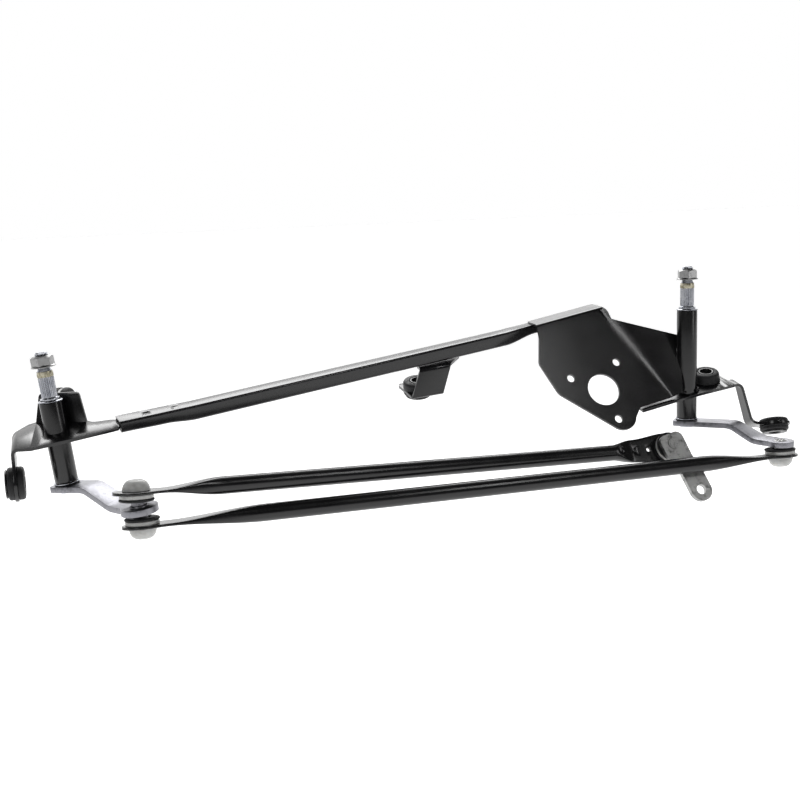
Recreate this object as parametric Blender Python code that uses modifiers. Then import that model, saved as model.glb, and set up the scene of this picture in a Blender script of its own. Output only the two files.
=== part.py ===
"""Wiper transmission: a bracketed frame tube, two wiper pivots, their cranks and the link rods.

Run it with Blender 4.5.  The lengths below are millimetres in a layout frame that lies midway
between the two wiper pivots: +X from the left pivot to the right one, +Y to the back, +Z up
along the right wiper shaft.  MM turns them into metres.  Every piece hangs from an empty at
the middle cowl mount, which is the origin of the finished part.
"""
import math

import bmesh
import bpy
from mathutils import Matrix, Vector

MM = 0.001
GAP = 0.3                      # between two pieces that touch
SIDES = 16                     # of a turned piece

# ---- pivots and linkage ------------------------------------------------------------------
PIVOT_SPAN = 532.0             # between the wiper shafts
SHAFT_LEAN = 5.8               # the left shaft leans out by this, in degrees
LEFT_PIVOT = Vector((-PIVOT_SPAN / 2, 0, -2.0))
RIGHT_PIVOT = Vector((PIVOT_SPAN / 2, 0, 0))
CRANK_THROW = 85.0             # shaft to ball stud
CRANK_ANGLE = -55.0            # from +X, towards the front
CRANK_DROP = {"left": 10.8, "right": 10.4}
CRANK_THICK = 4.5
CRANK_HALF_WIDTH = 9.6
CRANK_EYE = {"left": 13.6, "right": 11.0}
CRANK_STUD_HOLE = 5.3
HUB_ANGLE = -42.0              # the hub half of a crank points further out than its eye
HUB_LENGTH = {"left": 24.0, "right": 41.0}
RAMP_LENGTH = {"left": 36.0, "right": 25.0}
BALL_RADIUS = 7.5
BALL_CLEARANCE = 0.45          # also takes up the linkage's small lack of squareness
STEM_RADIUS = 5.0
DOUBLE_REACH = 12.7            # arm to each ball of the left stud
SINGLE_REACH = 10.8            # arm to the ball of a single stud

# ---- housings and shafts, heights above the crank ----------------------------------------
HOUSING_LOW = {"left": 5.0, "right": 4.6}
HOUSING_TOP = {"left": 67.2, "right": 100.3}
HOUSING_RADIUS = 8.75
HOUSING_BORE = 7.6
BUSH_OUTER = 7.3
BUSH_BORE = 6.0
BUSH_LENGTH = 14.0
SHAFT_RADIUS = 5.9
KNURL_LENGTH = 19.5
COLLAR_LENGTH = 7.2
NUT_HEIGHT = 8.8
NUT_FLATS = 15.0
THREAD_RADIUS = 4.9
SHAFT_TOP = 38.2               # shaft end above its housing

# ---- sheet metal -------------------------------------------------------------------------
SHEET = 2.5
COWL_NORMAL = Vector((-0.139, -0.257, 0.953)).normalized()
COWL_X = Vector((1.0, 0.0, 0.1458)).normalized()
COWL_Y = COWL_NORMAL.cross(COWL_X)
LEFT_PLATE_HEIGHT = 45.7       # where each plate's top crosses its shaft's axis
RIGHT_PLATE_HEIGHT = 29.5
MOTOR_CENTRE = Vector((183.1, -4.4, 37.0))
MOTOR_NORMAL = Vector((-0.006, -0.86, 0.51)).normalized()
MOTOR_X = Vector((0.982, 0.092, 0.166)).normalized()
MOTOR_HOLE = 14.5
MOTOR_BOLTS = ((30.4, 144.0), (30.4, 42.0), (28.8, -87.0))     # radius and angle of each
BOLT_HOLE = 3.5

# ---- frame tube: its front top edge, width, height and tilt at each station ---------------
TUBE_WALL = 1.5
TUBE_STATIONS = [
    (Vector((-223.8, -20.0, 47.6)), 15.0, 9.2, 14),
    (Vector((-190.0, -14.2, 51.2)), 15.0, 9.8, 12),
    (Vector((-166.0, -10.0, 53.8)), 14.3, 11.9, 11),
    (Vector((112.0, 37.9, 87.0)), 14.3, 11.8, 7),
    (Vector((138.0, 42.4, 91.9)), 15.0, 8.4, 1),
    (Vector((186.0, 46.9, 100.0)), 15.0, 8.4, 0)]

# ---- rubber mounts -----------------------------------------------------------------------
GROMMET_RADIUS = 12.6
GROMMET_NECK = 8.6
GROMMET_BORE = 6.8
SLEEVE_OUTER = 6.5
SLEEVE_BORE = 5.3
SLEEVE_FLANGE = 10.8
CENTRE_GROMMET = Vector((29.0, 41.0, 43.6))
CENTRE_NORMAL = Vector((-0.082, -0.251, 0.96)).normalized()
REAR_GROMMET = Vector((-264.1, 30.4, 57.8))
LOWER_LEFT_GROMMET = Vector((-302.5, -5.0, 5.5))
LOWER_RIGHT_GROMMET = Vector((350.3, -8.0, -8.4))
LOWER_RIGHT_AXIS = Vector((0.09, 0.36, 0.93)).normalized()
UPPER_RIGHT_SPOT = (24.4, 8.3)                 # on the right plate

# ---- link rods ---------------------------------------------------------------------------
ROD_RADIUS = 6.65
ROD_SIDES = 12
ROD_WALL = 1.4
ROD_FLAT_HALF = 10.0           # half-width and half-thickness where a rod is pressed flat
ROD_FLAT_THICK = 1.2
ROD_ROLL = Vector((0.0, 0.12, 0.993)).normalized()      # both rods lie rolled back a little
EYE_RADIUS = 14.0
EYE_HOLE = 9.3

# ---- motor crank -------------------------------------------------------------------------
MOTOR_RIVET = Vector((226.8, -45.0, -7.8))
MOTOR_ARM_DOWN = Vector((0.242, -0.496, -0.834)).normalized()
MOTOR_ARM_LENGTH = 44.8
MOTOR_ARM_HALF = 9.7
MOTOR_ARM_THICK = 4.0
MOTOR_ARM_STEP = 5.0
MOTOR_ARM_HOLE = 4.2

UP = Vector((0, 0, 1))
BACK = Vector((0, 1, 0))
RIGHT = Vector((1, 0, 0))

for old in list(bpy.data.objects):
    bpy.data.objects.remove(old, do_unlink=True)

parts = bpy.data.collections.new("wiper_transmission")
cutters = bpy.data.collections.new("cutters")
bpy.context.scene.collection.children.link(parts)
bpy.context.scene.collection.children.link(cutters)


def material(name, colour, roughness, metallic):
    made = bpy.data.materials.new(name)
    made.use_nodes = True
    shader = made.node_tree.nodes["Principled BSDF"]
    shader.inputs["Base Color"].default_value = (*colour, 1)
    shader.inputs["Roughness"].default_value = roughness
    shader.inputs["Metallic"].default_value = metallic
    return made


BLACK_PAINT = material("black_paint", (0.012, 0.012, 0.013), 0.32, 0.0)
ZINC = material("zinc_plate", (0.62, 0.62, 0.64), 0.34, 1.0)
STEEL = material("bright_steel", (0.55, 0.55, 0.56), 0.28, 1.0)
RUBBER = material("black_rubber", (0.016, 0.016, 0.017), 0.6, 0.0)
NYLON = material("white_nylon", (0.82, 0.82, 0.80), 0.38, 0.0)
BRONZE = material("sintered_bronze", (0.42, 0.27, 0.13), 0.45, 1.0)


# ---- placing -----------------------------------------------------------------------------
def axes(origin, z_axis, x_hint):
    """A placement whose Z is z_axis and whose X is as near x_hint as that allows."""
    z = z_axis.normalized()
    x = (x_hint - z * x_hint.dot(z)).normalized()
    turn = Matrix((x, z.cross(x), z)).transposed().to_4x4()
    return Matrix.Translation(origin * MM) @ turn


def empty(name, placement, parent=None):
    made = bpy.data.objects.new(name, None)
    parts.objects.link(made)
    made.parent = parent
    made.matrix_basis = placement
    return made


def add(name, mesh, paint, parent, placement=None):
    """Make an object of the mesh under its parent.  Without a paint it is a cutter."""
    made = bpy.data.objects.new(name, mesh)
    (parts if paint else cutters).objects.link(made)
    made.parent = parent
    made.matrix_basis = placement or Matrix.Identity(4)
    if paint:
        mesh.materials.append(paint)
    else:
        made.hide_render = True
        made.display_type = "WIRE"
    return made


def boolean(target, other, operation):
    change = target.modifiers.new(operation.lower(), "BOOLEAN")
    change.operation = operation
    change.solver = "EXACT"
    change.object = other


datum = empty("middle_cowl_mount", Matrix.Translation(-CENTRE_GROMMET * MM))
lean = Matrix.Rotation(-math.radians(SHAFT_LEAN), 4, "Y")
LEFT_AXIS = (lean.to_3x3() @ UP).normalized()
PIVOTS = {"left": empty("left_pivot", Matrix.Translation(LEFT_PIVOT * MM) @ lean, datum),
          "right": empty("right_pivot", Matrix.Translation(RIGHT_PIVOT * MM), datum)}


# ---- shapes ------------------------------------------------------------------------------
def finish_mesh(name, work):
    bmesh.ops.recalc_face_normals(work, faces=work.faces)
    mesh = bpy.data.meshes.new(name)
    work.to_mesh(mesh)
    work.free()
    return mesh


def turned(name, profile, paint, parent, placement=None, closed=True, sides=SIDES):
    """Turn (radius, height) points about Z.  They run down the outer side; a closed profile
    is a ring's section, an open one starts and ends on the axis."""
    mesh = bpy.data.meshes.new(name)
    edges = [(i, i + 1) for i in range(len(profile) - 1)]
    if closed:
        edges.append((len(profile) - 1, 0))
    mesh.from_pydata([(r * MM, 0, z * MM) for r, z in profile], edges, [])
    made = add(name, mesh, paint, parent, placement)
    screw = made.modifiers.new("turn", "SCREW")
    screw.steps = screw.render_steps = sides
    screw.use_merge_vertices = True
    screw.merge_threshold = 0.00005
    screw.use_smooth_shade = True
    return made


def ring(outer, inner, low, high):
    """Section of a plain ring."""
    return [(outer, high), (outer, low), (inner, low), (inner, high)]


def arc(centre, radius, start, end, steps):
    """Points on a circle, from one angle to another in degrees."""
    turns = [math.radians(start + (end - start) * i / steps) for i in range(steps + 1)]
    return [(centre[0] + radius * math.cos(t), centre[1] + radius * math.sin(t)) for t in turns]


def prism(name, outline, low, high, paint, parent, placement=None):
    """A flat outline pulled up from one height to another."""
    work = bmesh.new()
    face = work.faces.new([work.verts.new((x * MM, y * MM, low * MM)) for x, y in outline])
    pulled = bmesh.ops.extrude_face_region(work, geom=[face])
    top = [item for item in pulled["geom"] if isinstance(item, bmesh.types.BMVert)]
    bmesh.ops.translate(work, verts=top, vec=(0, 0, (high - low) * MM))
    return add(name, finish_mesh(name, work), paint, parent, placement)


def drill(target, placement, radius, depth, parent=datum, sides=SIDES):
    """Cut a round hole of the given depth, centred on the placement, along its Z."""
    work = bmesh.new()
    bmesh.ops.create_cone(work, cap_ends=True, segments=sides, radius1=radius * MM,
                          radius2=radius * MM, depth=depth * MM)
    mesh = finish_mesh(target.name + "_drill", work)
    boolean(target, add(mesh.name, mesh, None, parent, placement), "DIFFERENCE")


def loft(name, sections, paint, parent=datum):
    """Skin a row of sections, each a ring of the same number of points, and cap the ends."""
    work = bmesh.new()
    rings = [[work.verts.new(point * MM) for point in section] for section in sections]
    count = len(rings[0])
    for near, far in zip(rings, rings[1:]):
        for i in range(count):
            j = (i + 1) % count
            work.faces.new((near[i], near[j], far[j], far[i]))
    work.faces.new(rings[0])
    work.faces.new(rings[-1])
    return add(name, finish_mesh(name, work), paint, parent)


def folded(name, rows, thick, paint, parent=datum):
    """A sheet given by the two edge points of its middle surface at each row.  A row's third
    value, where it has one, is the length of each leg of the round that replaces its fold."""
    spread = []
    for i, row in enumerate(rows):
        if len(row) == 2:
            spread.append(row)
            continue
        left, right, leg = row
        steps = 4
        for step in range(steps + 1):
            t = step / steps
            pair = []
            for side, corner in enumerate((left, right)):
                start = corner + (rows[i - 1][side] - corner).normalized() * leg
                end = corner + (rows[i + 1][side] - corner).normalized() * leg
                pair.append(start * (1 - t) ** 2 + corner * 2 * t * (1 - t) + end * t ** 2)
            spread.append(tuple(pair))
    sections = []
    for i, (left, right) in enumerate(spread):
        before = spread[max(i - 1, 0)]
        after = spread[min(i + 1, len(spread) - 1)]
        along = (after[0] + after[1] - before[0] - before[1]).normalized()
        normal = along.cross(right - left).normalized() * thick / 2
        sections.append([left - normal, right - normal, right + normal, left + normal])
    return loft(name, sections, paint, parent)


# ---- rubber mounts -----------------------------------------------------------------------
def rubber_mount(name, centre, axis, high=6.2, low=6.2):
    """A grooved rubber grommet on its flanged steel sleeve, centred on the sheet it sits in.
    It stands high above the sheet and low below it, where the sleeve has its flange."""
    placement = axes(centre, axis, RIGHT if abs(axis.x) < 0.7 else UP)
    groove = SHEET / 2 + GAP
    soft = 1.6
    turned(name + "_grommet",
           [(GROMMET_RADIUS - soft, high), (GROMMET_RADIUS, high - soft),
            (GROMMET_RADIUS, groove), (GROMMET_NECK, groove),
            (GROMMET_NECK, -groove), (GROMMET_RADIUS, -groove),
            (GROMMET_RADIUS, soft - low), (GROMMET_RADIUS - soft, -low),
            (GROMMET_BORE, -low), (GROMMET_BORE, high)],
           RUBBER, datum, placement)
    seat = -low - GAP
    turned(name + "_sleeve",
           [(SLEEVE_OUTER, high), (SLEEVE_OUTER, seat), (SLEEVE_FLANGE, seat),
            (SLEEVE_FLANGE, seat - 1.2), (SLEEVE_BORE, seat - 1.2), (SLEEVE_BORE, high)],
           ZINC, datum, placement)


def grommet_hole(target, centre, axis):
    drill(target, axes(centre, axis, RIGHT if abs(axis.x) < 0.7 else UP),
          GROMMET_NECK + GAP, 4 * SHEET)


# ---- frame -------------------------------------------------------------------------------
def on_plate(side, x, y, depth=SHEET / 2):
    """A point of the left or right cowl plate, at a depth below its top surface."""
    base = (LEFT_PIVOT + LEFT_AXIS * LEFT_PLATE_HEIGHT if side == "left"
            else RIGHT_PIVOT + UP * RIGHT_PLATE_HEIGHT)
    return base + COWL_X * x + COWL_Y * y - COWL_NORMAL * depth


def plate_rows(side, spans):
    """Rows of a cowl plate from (x, front y, back y) triples."""
    return [(on_plate(side, x, front), on_plate(side, x, back)) for x, front, back in spans]


def eye_rows(centre, along, across, start, radius=GROMMET_RADIUS + 1.5):
    """Rows round the far half of a lug with a hole, from half-width start outwards."""
    rows = []
    first = math.degrees(math.acos(max(-1.0, min(1.0, start / radius))))
    for i in range(9):
        turn = math.radians(-first + (first + 78) * i / 8)
        middle = centre + along * radius * math.sin(turn)
        half = across * radius * math.cos(turn)
        rows.append((middle - half, middle + half))
    return rows


def left_bracket():
    """The left stamping: cowl plate, tongue into the tube, upright, and the lower lug."""
    rows = [(on_plate("left", 57, -15.4, 2.9), on_plate("left", 57, -8.0, 2.9)),
            (on_plate("left", 45.9, -17.8, 1.5), on_plate("left", 45.9, -9.2, 1.5))]
    rows += plate_rows("left", [(44.7, -22.1, -7.2), (40, -22.5, -5.0), (28, -22.8, -2.5),
                                (24, -22.9, 2.0), (10, -23.3, 8.6), (-14.5, -23.0, 20.4),
                                (-20, -22.8, 19.4)])
    front, back = on_plate("left", -32.2, -17.5), on_plate("left", -32.2, 9.5)
    front.x = back.x = LOWER_LEFT_GROMMET.x
    rows.append((front, back, 6.5))
    lug_axis = RIGHT
    down = -UP
    across = BACK
    rows += eye_rows(LOWER_LEFT_GROMMET, down, across, 11.5)
    plate = folded("left_bracket", rows, SHEET, BLACK_PAINT)

    foot_left, foot_right = on_plate("left", -14.3, 19.2), on_plate("left", 23.2, 1.4)
    along = foot_right - foot_left
    along.z = 0
    along.normalize()
    behind = UP.cross(along)
    rise = UP * 24.0
    taper = along * 4.5
    upright = folded("upright", [(foot_left, foot_right), (foot_left + rise * 0.94 + taper,
                     foot_right + rise * 0.94 - taper), (foot_left + rise + taper * 1.4,
                     foot_right + rise - taper * 1.4)], SHEET, None)
    boolean(plate, upright, "UNION")
    lug_start = REAR_GROMMET - behind * (REAR_GROMMET - foot_left).dot(behind)
    lug = folded("rear_lug", [(lug_start - UP * 9, lug_start + UP * 9),
                              (REAR_GROMMET - behind * 8 - UP * 10.5,
                               REAR_GROMMET - behind * 8 + UP * 10)]
                 + eye_rows(REAR_GROMMET, behind, UP, 11.0, 12.2), SHEET, None)
    boolean(plate, lug, "UNION")
    grommet_hole(plate, REAR_GROMMET, along)
    grommet_hole(plate, LOWER_LEFT_GROMMET, lug_axis)
    drill(plate, None, HOUSING_RADIUS + GAP, 160, PIVOTS["left"])
    rubber_mount("left_rear", REAR_GROMMET, along)
    rubber_mount("left_lower", LOWER_LEFT_GROMMET, lug_axis)


def right_bracket():
    """The right stamping: cowl plate round the pivot, upper mount, and the lower mount's arm."""
    spot_x, spot_y = UPPER_RIGHT_SPOT
    edge = GROMMET_RADIUS + 2.9
    spans = [(-52.5, -16.0, 9.0), (-44, -15.5, 16.0), (-19.9, -13.4, 21.0), (0, -12.4, 23.0)]
    for turn in (110, 90, 70, 50, 30, 12, -8, -28):
        spans.append((spot_x + edge * math.cos(math.radians(turn)), -12.4,
                      spot_y + edge * math.sin(math.radians(turn))))
    rows = plate_rows("right", spans)
    rows = rows[:-1] + [(on_plate("right", 41.5, -12.2), on_plate("right", 41.5, -1.8)),
                        (on_plate("right", 48.0, -11.8), on_plate("right", 48.0, -1.8), 6.0)]
    along = Vector((1, -0.1, -0.07))
    along = (along - LOWER_RIGHT_AXIS * along.dot(LOWER_RIGHT_AXIS)).normalized()
    across = LOWER_RIGHT_AXIS.cross(along).normalized()
    foot = LOWER_RIGHT_GROMMET - along * 24.0
    rows.append((foot - across * 6.0, foot + across * 6.0, 7.0))
    rows += eye_rows(LOWER_RIGHT_GROMMET, along, across, 9.0)
    plate = folded("right_bracket", rows, SHEET, BLACK_PAINT)
    spot = on_plate("right", spot_x, spot_y)
    grommet_hole(plate, spot, COWL_NORMAL)
    grommet_hole(plate, LOWER_RIGHT_GROMMET, LOWER_RIGHT_AXIS)
    drill(plate, None, HOUSING_RADIUS + GAP, 160, PIVOTS["right"])
    rubber_mount("right_upper", spot, COWL_NORMAL, 9.8, 4.4)
    rubber_mount("right_lower", LOWER_RIGHT_GROMMET, LOWER_RIGHT_AXIS, 5.2, 6.2)


def motor_bracket():
    """The motor plate with its top flange and the gusset that runs to the right housing."""
    place = axes(MOTOR_CENTRE, MOTOR_NORMAL, MOTOR_X)
    outline = ([(36.5, 65.0), (36.4, 59.7), (59.4, -24.6), (27.0, -24.4), (24.0, -26.1)]
               + arc((5.8, -26.8), 13.0, -30, -140, 6)
               + [(-40.5, 7.5), (-43.7, 21.3), (-46.7, 37.9), (-35.8, 63.1), (-33.0, 75.0)]
               + arc((32.6, 71.6), 4.0, 90, 10, 4))
    plate = prism("motor_bracket", outline, -SHEET, 0, BLACK_PAINT, datum, place)

    def on_motor(x, y, depth=SHEET / 2):
        side = MOTOR_NORMAL.cross(MOTOR_X)
        return MOTOR_CENTRE + MOTOR_X * x + side * y - MOTOR_NORMAL * depth

    depth = 27.0
    flange_y = 74.6
    left, right = on_motor(-32.8, flange_y), on_motor(33.6, flange_y)
    boolean(plate, folded("top_flange", [(right, left), (right + BACK * depth,
                          left + BACK * depth)], SHEET, None), "UNION")
    top, foot = on_motor(35.0, 62.0), on_motor(57.6, -22.6)
    far_top, far_foot = Vector((262.5, 9.6, 77.0)), Vector((255.8, -10.6, 29.4))
    boolean(plate, folded("gusset", [(foot, top), (far_foot, far_top)], SHEET, None), "UNION")
    drill(plate, None, HOUSING_RADIUS + GAP, 260, PIVOTS["right"])
    drill(plate, place, MOTOR_HOLE, 6 * SHEET, sides=32)
    for radius, angle in MOTOR_BOLTS:
        turn = math.radians(angle)
        spot = on_motor(radius * math.cos(turn), radius * math.sin(turn))
        drill(plate, axes(spot, MOTOR_NORMAL, MOTOR_X), BOLT_HOLE, 6 * SHEET)


def centre_bracket():
    """Pad under the tube, slanted leg, and the foot that carries the middle mount."""
    level = Vector((1, 0, 0.085)).normalized()
    rear = CENTRE_NORMAL.cross(level)

    def foot(x, y):
        return CENTRE_GROMMET + level * x + rear * y

    pad_left, pad_right = Vector((27.0, 35.5, 63.6)), Vector((68.0, 42.5, 68.6))
    top_left, top_right = Vector((26.5, 24.5, 63.0)), Vector((54.0, 24.5, 64.9))
    rows = [(pad_left, pad_right), (top_left, top_right, 3.0),
            (foot(-10.6, -16.2), foot(17.4, -16.2), 1.6), (foot(-11.6, -6), foot(16.0, -6)),
            (foot(-14.0, 10), foot(12.6, 10)), (foot(-12.4, 13.6), foot(8.0, 13.6))]
    bracket = folded("centre_bracket", rows, SHEET, BLACK_PAINT)
    grommet_hole(bracket, CENTRE_GROMMET, CENTRE_NORMAL)
    rubber_mount("centre", CENTRE_GROMMET, CENTRE_NORMAL, 8.6, 4.2)


def tube_section(corner, width, height, tilt, shrink):
    """Chamfered rectangle of the frame tube, made smaller all round by shrink."""
    along = (TUBE_STATIONS[3][0] - TUBE_STATIONS[2][0]).normalized()
    level = UP.cross(along).normalized()
    upright = along.cross(level)
    cos, sin = math.cos(math.radians(tilt)), math.sin(math.radians(tilt))
    across = level * cos + upright * sin
    down = level * sin - upright * cos
    cut = 1.6 if not shrink else 0.6
    low, wide, deep = shrink, width - shrink, height - shrink
    spots = [(low + cut, low), (wide - 0.6, low), (wide, low + 0.6), (wide, deep - cut),
             (wide - cut, deep), (low + cut, deep), (low, deep - cut), (low, low + cut)]
    return [corner + across * a + down * b for a, b in spots]


def frame_tube():
    """The rectangular tube, pressed flatter at both ends."""
    outer = [tube_section(*station, 0) for station in TUBE_STATIONS]
    inner = [tube_section(*station, TUBE_WALL) for station in TUBE_STATIONS]
    first, last = inner[0], inner[-1]
    lead_in = [a + (a - b).normalized() * 5 for a, b in zip(first, inner[1])]
    lead_out = [a + (a - b).normalized() * 5 for a, b in zip(last, inner[-2])]
    tube = loft("frame_tube", outer, BLACK_PAINT)
    boolean(tube, loft("tube_bore", [lead_in] + inner + [lead_out], None), "DIFFERENCE")


def pivot(side):
    """Housing with its two bushes and top ring, the shaft in it, and what is on the shaft."""
    low, top = HOUSING_LOW[side], HOUSING_TOP[side]
    hub = PIVOTS[side]
    turned(side + "_housing", ring(HOUSING_RADIUS, HOUSING_BORE, low, top), BLACK_PAINT, hub)
    for name, start in (("lower", low + 0.4), ("upper", top - BUSH_LENGTH - 2.4)):
        turned(f"{side}_{name}_bush", ring(BUSH_OUTER, BUSH_BORE, start, start + BUSH_LENGTH),
               BRONZE, hub, sides=24)
    turned(side + "_dust_cap", [(9.6, top + 1.4), (9.6, top + GAP), (7.2, top + GAP),
                                (7.2, top + 1.4)], STEEL, hub)
    collar = top + KNURL_LENGTH
    thread = collar + COLLAR_LENGTH
    end = top + SHAFT_TOP
    rivet = -CRANK_THICK / 2 - GAP
    turned(side + "_shaft",
           [(0, end), (THREAD_RADIUS - 1, end), (THREAD_RADIUS, end - 1),
            (THREAD_RADIUS, thread - GAP), (SHAFT_RADIUS - 0.3, thread - GAP),
            (SHAFT_RADIUS, thread - 1), (SHAFT_RADIUS, rivet), (7.6, rivet), (6.6, rivet - 1.4),
            (0, rivet - 1.4)], STEEL, hub, closed=False, sides=24)
    turned(side + "_circlip", ring(7.4, SHAFT_RADIUS + GAP, top + 1.9, top + 2.9), STEEL, hub)
    turned(side + "_shaft_seal", ring(9.3, SHAFT_RADIUS + GAP, 2.55, 3.4), RUBBER, hub)
    turned(side + "_thrust_washer", ring(9.5, SHAFT_RADIUS + GAP, 3.7, 4.3), ZINC, hub)
    wiper_nut(side, thread, hub)


def wiper_nut(side, seat, hub):
    """Flanged hexagon nut, its bore clear of the thread."""
    across = NUT_FLATS / math.sqrt(3)
    hexagon = [(across * math.cos(math.radians(60 * i + 10)),
                across * math.sin(math.radians(60 * i + 10))) for i in range(6)]
    nut = prism(side + "_wiper_nut", hexagon, seat + 1.0, seat + NUT_HEIGHT, ZINC, hub)
    flange = turned("nut_flange", [(0, seat + 1.6), (NUT_FLATS / 2, seat + 1.6),
                                   (9.3, seat + 0.9), (9.3, seat), (0, seat)],
                    None, hub, closed=False)
    boolean(nut, flange, "UNION")
    drill(nut, Matrix.Translation(UP * seat * MM), THREAD_RADIUS + GAP, 60, hub)


# ---- cranks ------------------------------------------------------------------------------
def flat(angle):
    """Level direction at an angle from +X, in degrees."""
    return Vector((math.cos(math.radians(angle)), math.sin(math.radians(angle)), 0))


def crank(side):
    """Wiper crank in its pivot's frame: flat hub, ramp down, and the eye for the ball stud."""
    hub = PIVOTS[side]
    drop = UP * CRANK_DROP[side]
    out = flat(HUB_ANGLE)
    knee = out * HUB_LENGTH[side]
    eye = flat(CRANK_ANGLE) * CRANK_THROW
    second = (eye - knee).normalized()
    ramp_end = knee + second * RAMP_LENGTH[side] - drop
    eye = eye - drop
    side_one, side_two = UP.cross(out), UP.cross(second)
    knee_side = (side_one + side_two).normalized()
    half = CRANK_HALF_WIDTH

    def row(centre, across, width, *leg):
        return (centre - across * width, centre + across * width, *leg)

    rows = [row(out * -10.8, side_one, half - 2.6), row(out * -9.8, side_one, half - 0.8),
            row(out * -8.0, side_one, half), row(knee, knee_side, half, 5.0),
            row(ramp_end, side_two, half, 5.0), row(eye - second * 9.5, side_two, half)]
    for angle in range(-40, 81, 20):
        turn = math.radians(angle)
        rows.append(row(eye + second * CRANK_EYE[side] * math.sin(turn), side_two,
                        CRANK_EYE[side] * math.cos(turn)))
    arm = folded(side + "_crank_arm", rows, CRANK_THICK, ZINC, hub)
    drill(arm, None, SHAFT_RADIUS + GAP, 4 * CRANK_THICK, hub)
    drill(arm, Matrix.Translation(eye * MM), CRANK_STUD_HOLE, 4 * CRANK_THICK, hub)
    return eye


def ball_points(centre, start, end, steps=5):
    """Profile of a ball on the axis, from one latitude down to another in degrees."""
    return arc((0, centre), BALL_RADIUS, start, end, steps)


def single_stud(name, parent, placement):
    """Ball stud riveted through an arm of the given thickness; the ball hangs below it."""
    face = CRANK_THICK / 2 + GAP
    neck = math.degrees(math.asin(STEM_RADIUS / BALL_RADIUS))
    profile = ([(0, face + 1.0), (4.8, face + 0.8), (6.4, face), (STEM_RADIUS, face)]
               + ball_points(-SINGLE_REACH, 90 - neck, -90))
    profile[-1] = (0, -SINGLE_REACH - BALL_RADIUS)
    turned(name, profile, ZINC, parent, placement, closed=False)


def double_stud(name, parent, placement):
    """Stud with a ball above and a ball below the arm, and a collar on each side."""
    face = CRANK_THICK / 2 + GAP
    neck = math.degrees(math.asin(STEM_RADIUS / BALL_RADIUS))
    upper = ball_points(DOUBLE_REACH, 90, neck - 90)
    collar = [(STEM_RADIUS, face + 1.2), (6.6, face + 1.0), (6.8, face), (STEM_RADIUS, face)]
    half = upper + collar
    half[0] = (0, DOUBLE_REACH + BALL_RADIUS)
    turned(name, half + [(r, -z) for r, z in reversed(half)], ZINC, parent, placement,
           closed=False)


# ---- link rods ---------------------------------------------------------------------------
def rod_section(centre, across, normal, half, thick, square, shrink):
    """Ring of points that runs from a circle to a flat oblong as square grows."""
    power = 2.0 / (2.0 + 5.0 * square)
    half, thick = half - shrink, max(thick - shrink, 0.2)
    ring_points = []
    for i in range(ROD_SIDES):
        turn = 2 * math.pi * (i + 0.5) / ROD_SIDES
        cos, sin = math.cos(turn), math.sin(turn)
        ring_points.append(centre + across * half * math.copysign(abs(cos) ** power, cos)
                           + normal * thick * math.copysign(abs(sin) ** power, sin))
    return ring_points


def square_to(along, normal):
    """The part of a direction that is square to a rod."""
    return (normal - along * normal.dot(along)).normalized()


def rod_sections(start, end, normals, necks, tips, shrink):
    """Sections from the tip of one eye to the tip of the other."""
    along = (end - start).normalized()
    length = (end - start).length

    def end_stations(tip, neck):
        spots = [(-tip * math.cos(math.radians(turn)), EYE_RADIUS * math.sin(math.radians(turn)),
                  1.0) for turn in (25, 50, 75)]
        spots += [(1.0, EYE_RADIUS, 1.0), (9.0, 12.0, 1.0)]
        flat_end, full = neck
        for step in range(4):
            t = step / 3
            smooth = 1 - t * t * (3 - 2 * t)
            half = ROD_RADIUS + (ROD_FLAT_HALF - ROD_RADIUS) * smooth
            spots.append((flat_end + (full - flat_end) * t, half, smooth))
        return spots

    front = end_stations(tips[0], necks[0])
    back = [(length - at, half, flatness)
            for at, half, flatness in reversed(end_stations(tips[1], necks[1]))]
    first, second = square_to(along, normals[0]), square_to(along, normals[1])
    turn = math.atan2(first.cross(second).dot(along), first.dot(second))
    skip = round(turn / (2 * math.pi / ROD_SIDES))
    sections = []
    for i, (at, half, flatness) in enumerate(front + back):
        if shrink and i in (0, len(front + back) - 1):
            at += 4.0 if i else -4.0
        thick = ROD_RADIUS + (ROD_FLAT_THICK - ROD_RADIUS) * flatness
        normal = first if i < len(front) else second
        section = rod_section(start + along * at, normal.cross(along), normal, half, thick,
                              flatness, shrink)
        if i >= len(front):
            section = section[-skip:] + section[:-skip]
        sections.append(section)
    return sections


def rod(name, start, end, normals, necks, tips):
    """Steel tube pressed flat at both ends, with an eye at each for its ball socket."""
    made = loft(name, rod_sections(start, end, normals, necks, tips, 0), BLACK_PAINT)
    bore = loft(name + "_bore", rod_sections(start, end, normals, necks, tips, ROD_WALL), None)
    boolean(made, bore, "DIFFERENCE")
    along = (end - start).normalized()
    for spot, normal in zip((start, end), normals):
        drill(made, axes(spot, square_to(along, normal), RIGHT), EYE_HOLE, 12)
    return made


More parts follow.
